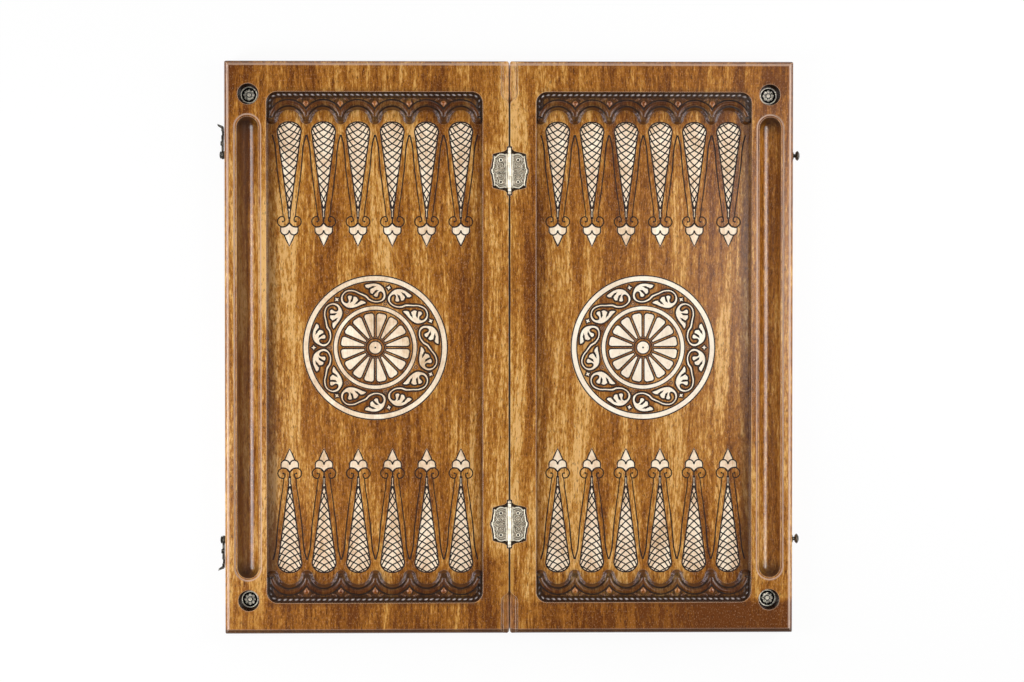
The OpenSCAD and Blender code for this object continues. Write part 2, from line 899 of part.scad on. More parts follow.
module lower_hinge_right_leaf() {
  translate([0, -hinge_offset, 0]) right_leaf();
}

module lower_hinge_pin() {
  translate([0, -hinge_offset, 0]) hinge_pin();
}

module lower_hinge_left_nails() {
  translate([0, -hinge_offset, 0]) to_left() nails();
}

module lower_hinge_right_nails() {
  translate([0, -hinge_offset, 0]) nails();
}

// A cast disc with a raised rim and a plain rosette of eight petals round a boss
module well_disc() {
  face = disc_thickness - 0.8;
  petal = disc_width / 11;
  color(dark_metal) translate([well_middle, well_row, well_level]) {
    cylinder(h = face, r = disc_width / 2);
    difference() {
      cylinder(h = disc_thickness, r = disc_width / 2);
      translate([0, 0, face]) cylinder(h = cut, r = disc_width / 2 - disc_rim);
    }
    for (k = [0 : 7]) rotate(45 * k) translate([disc_width * 0.245, 0, 0])
      cylinder(h = face + 0.4, r = petal);
    cylinder(h = face + 0.6, r = disc_width / 9);
  }
}

module upper_right_disc() {
  well_disc();
}

module lower_right_disc() {
  mirror([0, 1, 0]) well_disc();
}

module upper_left_disc() {
  to_left() well_disc();
}

module lower_left_disc() {
  to_left() mirror([0, 1, 0]) well_disc();
}

// Latches are drawn standing out from the side wall along z, with the hook lying along y,
// and then turned onto the wall
module on_wall() {
  translate([outer_side, latch_offset, latch_level]) rotate([0, 90, 0]) children();
}

notch_reach = 2 * latch_drop + closing_gap;
hook_base = washer_thickness + hook_side_gap;
head_base = hook_base + hook_thickness + hook_side_gap;

module washer() {
  color(dark_metal) difference() {
    cylinder(h = washer_thickness, r = washer_radius);
    translate([0, 0, -cut]) cylinder(h = washer_thickness + 2 * cut, r = neck_radius);
  }
}

// A round headed stud: screw in the wood, neck, bevelled head
module knob(head_radius, reach) {
  rise = reach - head_base;
  color(dark_metal) {
    translate([0, 0, -shank_length]) cylinder(h = shank_length, r = shank_radius);
    cylinder(h = head_base + rise / 2, r = neck_radius);
    translate([0, 0, head_base]) rotate_extrude() polygon([
      [0, 0], [head_radius * 0.72, 0], [head_radius, rise * 0.35], [head_radius, rise * 0.5],
      [head_radius * 0.8, rise * 0.75], [head_radius * 0.45, rise * 0.95], [head_radius * 0.2, rise],
      [0, rise]
    ]);
  }
}

// The hook in plan: y runs along its arm, and x is up on the side of the open board
function hook_outline() = let (
    slot = neck_radius + notch_clearance,
    back = -slot - 2.4,
    front = slot + 1.6,
    end = notch_reach + hook_nose
  ) smooth_outline([
    [-arm_half, 1], [-arm_half * 0.8, 5.5], [-arm_half * 0.95, 9], [-arm_half * 1.2, 11.5],
    [-arm_half * 0.8, 14.5], [back + 1, notch_reach - 5.2], [back, notch_reach],
    [back + 0.7, notch_reach + 4.5], [-1.6, end - 0.3], [1.6, end - 0.4],
    [front, notch_reach + 3.6], [front + 0.3, notch_reach], [front, notch_reach - 3.6],
    [arm_half * 0.9, 14.5], [arm_half * 1.2, 11.5], [arm_half * 0.95, 9], [arm_half * 0.8, 5.5],
    [arm_half, 1]
  ], 3);

module hook_plate() {
  slot = neck_radius + notch_clearance;
  difference() {
    union() {
      circle(eye_radius);
      polygon(hook_outline());
    }
    circle(neck_radius + running_clearance);
    translate([0, notch_reach]) circle(slot);
    translate([0, notch_reach - slot]) square([slot + 4, 2 * slot]);
  }
}

module hook() {
  tab_start = notch_reach + hook_nose - 2.4;
  color(dark_metal) {
    translate([0, 0, hook_base]) linear_extrude(hook_thickness) hook_plate();
    translate([0, notch_reach / 2 + 0.9, hook_base]) cylinder(h = hook_thickness + 1.1, r = arm_half * 0.9);
    // Thumb tab, which flares away from the wall
    translate([-2.6, 0, 0]) rotate([90, 0, 90]) linear_extrude(4.4) polygon([
      [tab_start, hook_base + 0.6], [tab_start + 3.2, hook_base + 0.6],
      [tab_start + 3.6, hook_base + hook_thickness],
      [tab_start + 5.4, latch_reach], [tab_start + 3.2, latch_reach - 0.4],
      [tab_start + 0.8, hook_base + hook_thickness + 0.6]
    ]);
  }
}

module upper_hook() {
  to_left() on_wall() mirror([1, 0, 0]) hook();
}

module lower_hook() {
  mirror([0, 1, 0]) upper_hook();
}

module upper_hook_stud() {
  to_left() on_wall() knob(stud_radius, head_base + 2);
}

module lower_hook_stud() {
  mirror([0, 1, 0]) upper_hook_stud();
}

module upper_hook_washer() {
  to_left() on_wall() washer();
}

module lower_hook_washer() {
  mirror([0, 1, 0]) upper_hook_washer();
}

module upper_catch_knob() {
  on_wall() knob(knob_radius, latch_reach);
}

module lower_catch_knob() {
  mirror([0, 1, 0]) upper_catch_knob();
}

module upper_catch_washer() {
  on_wall() washer();
}

module lower_catch_washer() {
  mirror([0, 1, 0]) upper_catch_washer();
}

left_slab();
right_slab();
left_point_inlays();
right_point_inlays();
left_fleur_inlays();
right_fleur_inlays();
left_medallion_ground();
right_medallion_ground();
left_medallion_rings();
right_medallion_rings();
left_medallion_petals();
right_medallion_petals();
left_medallion_scrolls();
right_medallion_scrolls();
upper_hinge_left_leaf();
upper_hinge_right_leaf();
upper_hinge_pin();
upper_hinge_left_nails();
upper_hinge_right_nails();
lower_hinge_left_leaf();
lower_hinge_right_leaf();
lower_hinge_pin();
lower_hinge_left_nails();
lower_hinge_right_nails();
upper_left_disc();
lower_left_disc();
upper_right_disc();
lower_right_disc();
upper_hook();
upper_hook_stud();
upper_hook_washer();
lower_hook();
lower_hook_stud();
lower_hook_washer();
upper_catch_knob();
upper_catch_washer();
lower_catch_knob();
lower_catch_washer();
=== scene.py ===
# %% [markdown]
# # A folding backgammon board
#
# The board lies open and is seen from straight above: two halves of stained and lacquered wood, light
# inlays with burnt outlines, carved arcades, small brass hinges and hooks. The solid parts come from a
# CAD model, which is loaded as a fixed frame. Blender adds the finishes and the fine work that is too
# small for the solids: the burnt nets, the engraved lines, the carved mouldings and beads, and the
# relief on the metal.

# %% Load the solid parts
import json
import math

import bpy
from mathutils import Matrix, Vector


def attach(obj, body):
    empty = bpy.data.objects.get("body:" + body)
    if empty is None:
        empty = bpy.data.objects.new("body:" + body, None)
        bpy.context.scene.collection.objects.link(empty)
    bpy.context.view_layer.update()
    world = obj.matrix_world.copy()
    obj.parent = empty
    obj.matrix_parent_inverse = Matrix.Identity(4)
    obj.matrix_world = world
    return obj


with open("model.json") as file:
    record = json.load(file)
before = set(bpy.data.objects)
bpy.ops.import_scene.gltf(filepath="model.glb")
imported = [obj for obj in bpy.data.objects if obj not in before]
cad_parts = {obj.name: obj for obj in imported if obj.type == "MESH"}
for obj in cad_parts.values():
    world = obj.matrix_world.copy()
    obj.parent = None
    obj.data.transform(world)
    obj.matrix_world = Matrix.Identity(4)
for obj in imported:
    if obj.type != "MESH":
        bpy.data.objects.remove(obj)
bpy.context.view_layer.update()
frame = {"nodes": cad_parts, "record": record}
nodes = frame["nodes"]

# %% [markdown]
# ## Measures
#
# Everything is in metres, in the same frame as the solid parts: x runs across the board from the seam,
# y along the seam and z upwards. Only the places that the fine work needs are repeated here. Drawing
# a thing once for the right half and mirroring it keeps both halves alike, as a template does for the
# carver.

# %% Places on the board
MM = 0.001
rim_level = 30 * MM
ledge_level = 25.5 * MM
channel_level = 24.6 * MM
floor_level = 18.5 * MM
field_near = 28 * MM
field_far = 254 * MM
field_end = 267.5 * MM
arch_places = [x * MM for x in (51, 87, 123, 159, 195, 231)]
arch_row = 237.5 * MM
pitch = 36 * MM
medallion_middle = 141 * MM
board_half, board_end = 298 * MM, 300 * MM
trough_middle, trough_straight = 273.75 * MM, 230.25 * MM
well_x, well_y = 273 * MM, 265 * MM
hinge_places = {"upper": 185 * MM, "lower": -185 * MM}
print("arches and points at", [round(x / MM) for x in arch_places], "mm from the seam")

# %% [markdown]
# ## The camera
#
# The camera hangs two metres over the board. A long lens at that distance keeps the outline nearly
# square, and still shows a little of the walls of the fields and wells. It doesn't hang exactly over
# the middle: it is a few centimetres to the left and towards the far end, and is turned back to the
# middle by about a degree, so the nearer edges come out a trifle longer.

# %% Camera
camera_data = bpy.data.cameras.new("camera")
camera = bpy.data.objects.new("camera", camera_data)
bpy.context.scene.collection.objects.link(camera)
view_distance = 2100 * MM
picture_width, mm_per_pixel, sensor_width = 1024, 1.047, 36
view_width = picture_width * mm_per_pixel * MM
aim = (2.6 * MM, 7.1 * MM, rim_level)
tilt, swing = math.radians(-0.95), math.radians(-1.1)
camera.rotation_euler = (tilt, swing, 0)
camera.location = (
    aim[0] + view_distance * math.tan(swing),
    aim[1] - view_distance * math.tan(tilt),
    aim[2] + view_distance,
)
camera_data.sensor_width = sensor_width
camera_data.lens = sensor_width * view_distance / view_width
bpy.context.scene.camera = camera
print("lens", round(camera_data.lens, 1), "mm")

# %% [markdown]
# ## Light
#
# A lacquered board shows its lamps as well as its colour. Two compact lamps stand at its sides, the
# left one a little stronger, and a larger one at the far end fills in. In a view from low down a lamp
# at the side would mirror as a burnt-out patch. So the side lamps are hidden from reflections, and the
# world draws a gentle strip in the place of each, which fades out towards the horizon.

# %% Lamps
def area_lamp(name, place, size, power):
    """A rectangular lamp that points at the middle of the board."""
    data = bpy.data.lights.new(name, "AREA")
    data.shape = "RECTANGLE"
    data.size, data.size_y = size
    data.energy = power
    lamp = bpy.data.objects.new(name, data)
    lamp.location = place
    lamp.rotation_euler = (-Vector(place)).to_track_quat("-Z", "Y").to_euler()
    bpy.context.scene.collection.objects.link(lamp)
    return lamp


left_lamp = area_lamp("left_lamp", (-0.95, -0.2, 0.75), (0.35, 1.0), 10)
right_lamp = area_lamp("right_lamp", (0.95, 0.2, 0.75), (0.45, 1.0), 9)
area_lamp("far_lamp", (0.1, 1.7, 1.3), (1.2, 0.6), 6)
left_lamp.visible_glossy = right_lamp.visible_glossy = False
print("three lamps")

# %% [markdown]
# ## Nodes as arithmetic
#
# A material is a graph of small nodes. Drawn by hand it soon fills a wall, so it is written as sums
# here: each helper adds its nodes to the tree and returns the socket that holds the result.

# %% Helpers that add nodes
def add(tree, kind, values=(), **settings):
    """Adds a node, and sets or links its inputs: sockets are linked, plain values are set."""
    node = tree.nodes.new("ShaderNode" + kind)
    for key, value in settings.items():
        setattr(node, key, value)
    for key, value in dict(values).items():
        if isinstance(value, bpy.types.NodeSocket):
            tree.links.new(value, node.inputs[key])
        else:
            node.inputs[key].default_value = value
    return node


def maths(tree, operation, a, b=0.0, clamp=False):
    return add(tree, "Math", {0: a, 1: b}, operation=operation, use_clamp=clamp).outputs[0]


def folded(tree, operation, values):
    """Several values joined by one operation, two at a time."""
    result, *others = values
    for value in others:
        result = maths(tree, operation, result, value)
    return result


def product(tree, *values):
    return folded(tree, "MULTIPLY", values)


def largest(tree, *values):
    return folded(tree, "MAXIMUM", values)


def remap(tree, value, low, high, to_low=0.0, to_high=1.0):
    ends = {"From Min": low, "From Max": high, "To Min": to_low, "To Max": to_high}
    return add(tree, "MapRange", {"Value": value, **ends}).outputs[0]


def axes(tree, where):
    return add(tree, "SeparateXYZ", {0: where}).outputs


# %% [markdown]
# ## The world
#
# The world gives the soft fill. It is white to the camera, grey to the board, and greyer overhead to
# a reflection, so that the lacquer isn't veiled. A reflection also finds the two lamp strips there
# and, nearly overhead, two soft windows, which lay a pale sheen on a part of each field. A Map Range
# node makes each of their edges, and the product of the edges is the shape.

# %% World
world = bpy.data.worlds.new("studio")
bpy.context.scene.world = world
world.use_nodes = True
tree = world.node_tree
tree.nodes.clear()
sky_x, sky_y, sky_z = axes(tree, add(tree, "TexCoord").outputs["Generated"])
grey_beside, grey_overhead, grey_fill = 0.28, 0.08, 0.32
window_strength, strip_strength, soft_edge = 5.0, 8.0, 0.01
overhead = remap(tree, sky_z, 0.45, 0.95)
reflected = remap(tree, overhead, 0, 1, grey_beside, grey_overhead)
for side, low, high, slant in ((1, -0.035, 0.11, 0.25), (-1, -0.11, -0.06, 0.0)):
    outwards = product(tree, sky_x, side)
    slanted = maths(tree, "ADD", sky_y, product(tree, outwards, slant))
    window = product(
        tree,
        remap(tree, outwards, 0.12, 0.14, 0.0, window_strength),
        remap(tree, sky_y, low - soft_edge, low + soft_edge),
        remap(tree, slanted, high - soft_edge, high + soft_edge, 1.0, 0.0),
        remap(tree, sky_z, 0.79, 0.80),
    )
    reflected = maths(tree, "ADD", reflected, window)
lamp_strips = product(
    tree,
    remap(tree, sky_z, 0.35, 0.85, 0.0, strip_strength),
    remap(tree, maths(tree, "ABSOLUTE", sky_x), 0.40, 0.45),
    remap(tree, maths(tree, "ABSOLUTE", sky_y), 0.35, 0.45, 1.0, 0.0),
)
reflected = maths(tree, "ADD", reflected, lamp_strips)
path = add(tree, "LightPath").outputs
shiny = largest(tree, path["Is Glossy Ray"], path["Is Transmission Ray"])
seen = add(tree, "Mix", {0: shiny, 2: grey_fill, 3: reflected}).outputs[0]
seen = add(tree, "Mix", {0: path["Is Camera Ray"], 2: seen, 3: 1.0}).outputs[0]
background = add(tree, "Background", {"Color": (1, 1, 1, 1), "Strength": seen})
add(tree, "OutputWorld", {"Surface": background.outputs[0]})
bpy.context.scene.view_settings.view_transform = "Standard"
print("world with", len(tree.nodes), "nodes")

# %% [markdown]
# ## The floor
#
# A plain white floor, so pale that the camera and every reflection see it as white, with a part of it
# left to the light so that the board still drops a soft shadow. Right under the seam it is left dark,
# because hardly any light gets down through that gap.

# %% Floor
def new_material(name):
    material = bpy.data.materials.new(name)
    material.use_nodes = True
    tree = material.node_tree
    tree.nodes.clear()
    return material, tree, add(tree, "OutputMaterial")


bpy.ops.mesh.primitive_plane_add(size=12, location=(0, 0, 0))
floor = bpy.context.object
floor.name = "floor"
glow_share = 0.93
material, tree, output = new_material("white_floor")
floor_x, floor_y, _ = axes(tree, add(tree, "TexCoord").outputs["Object"])
beside_seam = maths(tree, "GREATER_THAN", maths(tree, "ABSOLUTE", floor_x), 2 * MM)
past_seam = maths(tree, "GREATER_THAN", maths(tree, "ABSOLUTE", floor_y), 299.5 * MM)
path = add(tree, "LightPath").outputs
looks = ("Is Camera Ray", "Is Glossy Ray", "Is Transmission Ray")
looked_at = largest(tree, *[path[look] for look in looks])
white = product(tree, looked_at, largest(tree, beside_seam, past_seam))
diffuse = add(tree, "BsdfDiffuse", {"Color": (0.9, 0.9, 0.9, 1)}).outputs[0]
glow = add(tree, "Emission", {"Color": (1, 1, 1, 1), "Strength": white}).outputs[0]
mixed = add(tree, "MixShader", {0: product(tree, white, glow_share), 1: diffuse, 2: glow})
tree.links.new(mixed.outputs[0], output.inputs[0])
floor.data.materials.append(material)
print("floor")

# %% [markdown]
# ## Stained wood
#
# The board is a pale wood stained walnut brown and sealed with gloss lacquer. Its grain runs along the
# seam, so every pattern is stretched along y: broad tones a hand wide, streaks, fine fibres, and short
# dark pores. Over that lie layers, each with its own mask and colour: stain that gathers wherever the
# carver has cut, with painted shade in the recesses, on the walls and beside them; edges rubbed pale
# by sanding, with a painted highlight on them; painted highlight lines along the rim and the trough
# lips, and painted glints; and rails and patches that are darker or lighter than the fields. A mask
# comes from the place on the board, so it can be drawn as boxes and circles in millimetres.

# %% Helpers for patterns
def noise(tree, where, stretch, scale, detail=2.0, roughness=0.5):
    mapped = add(tree, "Mapping", {"Vector": where, "Scale": stretch}).outputs[0]
    settings = {"Vector": mapped, "Scale": scale, "Detail": detail, "Roughness": roughness}
    return add(tree, "TexNoise", settings).outputs[0]


def ramp(tree, value, stops):
    node = add(tree, "ValToRGB", {0: value})
    elements = node.color_ramp.elements
    while len(elements) < len(stops):
        elements.new(0.5)
    for element, (position, colour) in zip(elements, stops):
        element.position = position
        element.color = (*colour, 1)
    return node.outputs[0]


def blend(tree, amount, a, b, way="MIX"):
    node = add(tree, "Mix", {0: amount}, data_type="RGBA", blend_type=way)
    for socket, value in ((node.inputs[6], a), (node.inputs[7], b)):
        if isinstance(value, bpy.types.NodeSocket):
            tree.links.new(value, socket)
        else:
            socket.default_value = (*value, 1)
    return node.outputs[2]


def layered(tree, colour, layers):
    """A colour under layers, each an amount from 0 to 1 and the colour that it brings."""
    for amount, over in layers:
        colour = blend(tree, amount, colour, over)
    return colour


def weighted(tree, *pairs):
    return folded(tree, "ADD", [product(tree, value, weight) for value, weight in pairs])


# %% Helpers for masks
def step(tree, value, low, high, before=0.0, after=1.0):
    """One value before a place and another after it, with both ends of the change in millimetres."""
    return remap(tree, value, low * MM, high * MM, before, after)


def between(tree, value, low, high, soft=0.05):
    """1 between two places in millimetres, with soft ends."""
    rise = step(tree, value, low - soft, low)
    return product(tree, rise, step(tree, value, high, high + soft, 1.0, 0.0))


def distance(tree, *sides):
    squares = [product(tree, side, side) for side in sides]
    return maths(tree, "SQRT", folded(tree, "ADD", squares))


def away(tree, value, place):
    return maths(tree, "SUBTRACT", value, place)


# %% Where the stain is darkest, and where shade is painted
def dark_places(tree, where):
    """Masks of the black grooves and painted black shade, the strong stain and painted shade, the mild
    painted shade, the arcade and the level lacquer.
    """
    place = axes(tree, where)
    x, y = [maths(tree, "ABSOLUTE", place[axis]) for axis in "XY"]
    z = place["Z"]

    def zone(*ranges):
        """1 inside a box, from its ranges along x, y and z in millimetres."""
        sides = [between(tree, value, *ends) for value, ends in zip((x, y, z), ranges)]
        return product(tree, *sides)

    # The pockets are the burnt grooves round the inlays. The mortises round the hinges and the top
    # edges of the seam get painted black shade.
    pockets = zone((30, 252.5), (-10, 245), (17, 18.42))
    mortise_shade = zone((-10, 20.6), (157.1, 212.9), (26.8, 29.93))
    seam_shade = zone((-10, 0.9), (-10, 310), (28.2, 30.2))

    # Painted shade on the arch walls, in the wells, at the ends of the troughs and in the channel.
    arch_walls = zone((28.3, 253.7), (233.5, 267.2), (18.65, 25.35))
    channel = zone((27.5, 254.5), (236, 267.6), (24.3, 25.12))
    from_well = distance(tree, away(tree, x, well_x), away(tree, y, well_y))
    wells = product(tree, step(tree, from_well, 11.2, 11.3, 1, 0), between(tree, z, 14, 29.8))
    troughs = zone((259.2, 288.3), (-10, 244.8), (16, 28.4))
    trough_ends = product(tree, troughs, step(tree, y, 222, 240))

    # The carved ledge: uneven dark stain, with painted shade at the crowns of the arches and on the
    # noses between them.
    ledge = zone((28.5, 253.5), (236, 267.2), (24.3, 25.6))
    to_gap = maths(tree, "PINGPONG", maths(tree, "ADD", x, 3 * MM), pitch / 2)
    from_row = away(tree, y, arch_row)
    from_arch = distance(tree, maths(tree, "SUBTRACT", pitch / 2, to_gap), from_row)
    crown = product(tree, step(tree, from_arch, 16.0, 17.2, 1.2, 0), step(tree, from_row, 2, 9))
    nose = step(tree, from_row, -1, 4, 1.0, 0.0)
    uneven = remap(tree, noise(tree, where, (1, 0.6, 1), 260, 3.0, 0.7), 0.42, 0.6, 0.95, 0.45)
    carved = product(tree, ledge, largest(tree, crown, nose, uneven))

    # Painted shade on the side walls of the fields, on the outer half of each trough (more on the
    # left) and on the field floor beside its walls (more towards the near end). The rim also darkens
    # beside the field's end.
    shaded_side_walls = zone((27.5, 254.5), (-10, 267.5), (18.7, 29.9))
    over_field = zone((30, 252), (267.2, 300), (29, 30.1))
    shade = product(tree, over_field, step(tree, y, 267.2, 272.5, 1, 0))
    more_left = step(tree, place["X"], -100, 100, 1.4, 0.3)
    shaded_outer_half = product(tree, troughs, step(tree, x, 272.5, 275), more_left)
    beside_walls = largest(tree, step(tree, x, 242.5, 246), step(tree, x, 29, 32.5, 1, 0))
    field_floor = zone((27.5, 254.5), (-10, 267.5), (18, 18.6))
    more_near = step(tree, place["Y"], -200, -80, 1.3, 0.65)
    shadow_beside_walls = product(tree, field_floor, beside_walls, more_near)

    black_grooves_and_shade = largest(tree, pockets, mortise_shade, seam_shade)
    strong_stain_and_shade = largest(tree, arch_walls, wells, trough_ends, channel, carved)
    mild_shade = largest(tree, shaded_side_walls, shaded_outer_half, shade, shadow_beside_walls)
    arcade = zone((28.3, 253.7), (233.5, 265), (18.7, 25.8))
    level = product(tree, troughs, step(tree, x, 272.5, 274))
    return black_grooves_and_shade, strong_stain_and_shade, mild_shade, arcade, level


# %% Painted highlight and shade lines along the rim and the troughs
def rim_edge_highlight_and_shade(tree, where):
    """Masks of the painted highlight, a thin light line inside the moulding, and of the painted shade
    on the moulding at the near side.
    """
    x, y, z = axes(tree, where)
    from_side = maths(tree, "SUBTRACT", board_half, maths(tree, "ABSOLUTE", x))
    from_end = maths(tree, "SUBTRACT", board_end, maths(tree, "ABSOLUTE", y))
    inwards = maths(tree, "MINIMUM", from_side, from_end)
    near = step(tree, y, -296, -294.8, 1.0, 0.0)
    high = maths(tree, "GREATER_THAN", z, 24 * MM)
    elsewhere = maths(tree, "SUBTRACT", 1.0, near)
    light = product(tree, between(tree, inwards, 3.0, 4.6, 0.8), elsewhere, high)
    return light, product(tree, near, high)


def trough_lip_highlight(tree, where):
    """1 on the outer edge of a trough's lip, where a highlight is painted, from the distance to a slot
    with round ends.
    """
    x, y, z = axes(tree, where)
    across = away(tree, maths(tree, "ABSOLUTE", x), trough_middle)
    past = away(tree, maths(tree, "ABSOLUTE", y), trough_straight)
    reach = distance(tree, across, largest(tree, past, 0.0))
    high = maths(tree, "GREATER_THAN", z, 26.5 * MM)
    return product(tree, between(tree, reach, 13.3, 14.1, 0.4), high)


# %% Tones of the rails
def rail_tones(tree, where):
    """How much lighter or darker each rail of the frame is than the fields."""
    x, y, z = axes(tree, where)
    far_x, far_y = [maths(tree, "ABSOLUTE", side) for side in (x, y)]
    seam_rail = step(tree, far_x, 27.4, 27.6, 0.17, 0.0)
    outer_rail = step(tree, far_x, 254.4, 254.6, 0.0, 0.08)
    beside_field = product(tree, between(tree, far_x, 254.5, 260), -0.36)
    low_rail = step(tree, y, -267.6, -267.4, -0.1, 0.0)
    high_rail = step(tree, y, 267.4, 267.6, 0.0, -0.07)
    low_right = product(tree, step(tree, x, 0, 170), step(tree, y, -270, -262, -0.62, 0.0))
    corners = product(tree, step(tree, far_x, 200, 290), step(tree, far_y, 190, 290, 0.0, -0.3))
    seam_ends = product(
        tree,
        step(tree, far_x, 27.4, 27.6, -0.4, 0.0),
        step(tree, far_y, 205, 225),
        step(tree, maths(tree, "MINIMUM", x, y), 0, 10, 1.0, 0.1),
    )
    light_place = product(tree, between(tree, x, -240, -192, 12), between(tree, y, -150, 150, 50))
    light_side = product(tree, light_place, 0.2)
    # Besides the rails, some patches are darker or lighter: the near right end, the far corners, the
    # ends of the seam rails and a band on the left field.
    rails = (seam_rail, outer_rail, beside_field, low_rail, high_rail)
    tone_patches = (low_right, corners, seam_ends, light_side)
    return product(tree, folded(tree, "ADD", rails + tone_patches), step(tree, z, 1, 2))


# %% Grain
def wood_tones(tree, where):
    """Two numbers: the tone of the stain, and the fine pores, both from 0 dark to 1 light."""
    warp = product(tree, noise(tree, where, (1, 0.3, 1), 7, 1.0), 0.03)
    shift = add(tree, "CombineXYZ", {"X": warp}).outputs[0]
    where = add(tree, "VectorMath", {0: where, 1: shift}, operation="ADD").outputs[0]
    broad = noise(tree, where, (1, 0.4, 1), 8)
    bands = noise(tree, where, (1, 0.15, 1), 34)
    streaks = noise(tree, where, (1, 0.05, 1), 190, 3.0, 0.6)
    fibres = noise(tree, where, (1, 0.14, 1), 430, 2.0, 0.6)
    mottle = noise(tree, where, (1, 0.25, 1), 560, 3.0, 0.8)
    tone = weighted(tree, (broad, 0.8), (bands, 1.0), (streaks, 0.9), (fibres, 0.7), (mottle, 1.1))
    tone = maths(tree, "ADD", remap(tree, tone, 1.95, 2.57), rail_tones(tree, where))
    pores = remap(tree, noise(tree, where, (1, 0.25, 1), 700, 1.0), 0.30, 0.40)
    return tone, pores


def edge_wear_and_highlight(tree, radius):
    """1 on the sharp outer edges, where the sanded stain is thinnest and a highlight is painted, and 0
    in the corners.
    """
    rounded = add(tree, "Bevel", {"Radius": radius}, samples=4).outputs[0]
    true = add(tree, "NewGeometry").outputs["True Normal"]
    same = add(tree, "VectorMath", {0: rounded, 1: true}, operation="DOT_PRODUCT").outputs["Value"]
    return remap(tree, same, 0.995, 0.9)


# %% [markdown]
# ## Lacquer
#
# The lacquer is a clear coat over the wood. A Bevel node rounds the sharp edges of the solids, and
# those thin rounded edges catch the light. The grain shows through as a faint bump in the wood, while
# the coat over it stays smooth. In the outer half of the troughs the lacquer has run level, so there
# the coat gets a normal of its own that leans towards the middle of the board.

# %% Lacquer
def lacquer(tree, shader, bump_height, rounding, level=0.0):
    """Gloss lacquer, whose coat lies level where the last value is 1."""
    rounded = add(tree, "Bevel", {"Radius": rounding}, samples=4).outputs[0]
    grain = {"Height": bump_height, "Strength": 0.35, "Distance": 0.06 * MM, "Normal": rounded}
    tree.links.new(add(tree, "Bump", grain).outputs[0], shader.inputs["Normal"])
    where = add(tree, "TexCoord").outputs["Object"]
    lean = {0: where, 1: (-0.22, -0.22, 0), 2: (0, 0, 1)}
    inwards = add(tree, "VectorMath", lean, operation="MULTIPLY_ADD").outputs[0]
    ways = {"vector_type": "NORMAL", "convert_from": "OBJECT", "convert_to": "WORLD"}
    upwards = add(tree, "VectorTransform", {0: inwards}, **ways).outputs[0]
    coat = add(tree, "Mix", {0: level, 4: rounded, 5: upwards}, data_type="VECTOR")
    tree.links.new(coat.outputs[1], shader.inputs["Coat Normal"])
    shader.inputs["Roughness"].default_value = 0.42
    shader.inputs["Coat Weight"].default_value = 1.0
    shader.inputs["Coat Roughness"].default_value = 0.15
    shader.inputs["Specular IOR Level"].default_value = 0.1


def new_finish(name, values=()):
    """A material with one shader: the material, its tree, the shader and the place."""
    material, tree, output = new_material(name)
    shader = add(tree, "BsdfPrincipled", values)
    tree.links.new(shader.outputs[0], output.inputs[0])
    return material, tree, shader, add(tree, "TexCoord").outputs["Object"]


# %% Stained wood
stain_stops = [
    (0.0, (0.12, 0.032, 0.002)),
    (0.18, (0.19, 0.060, 0.005)),
    (0.32, (0.25, 0.085, 0.008)),
    (0.5, (0.32, 0.115, 0.012)),
    (0.7, (0.44, 0.190, 0.030)),
    (0.87, (0.58, 0.300, 0.070)),
    (1.0, (0.70, 0.400, 0.14)),
]


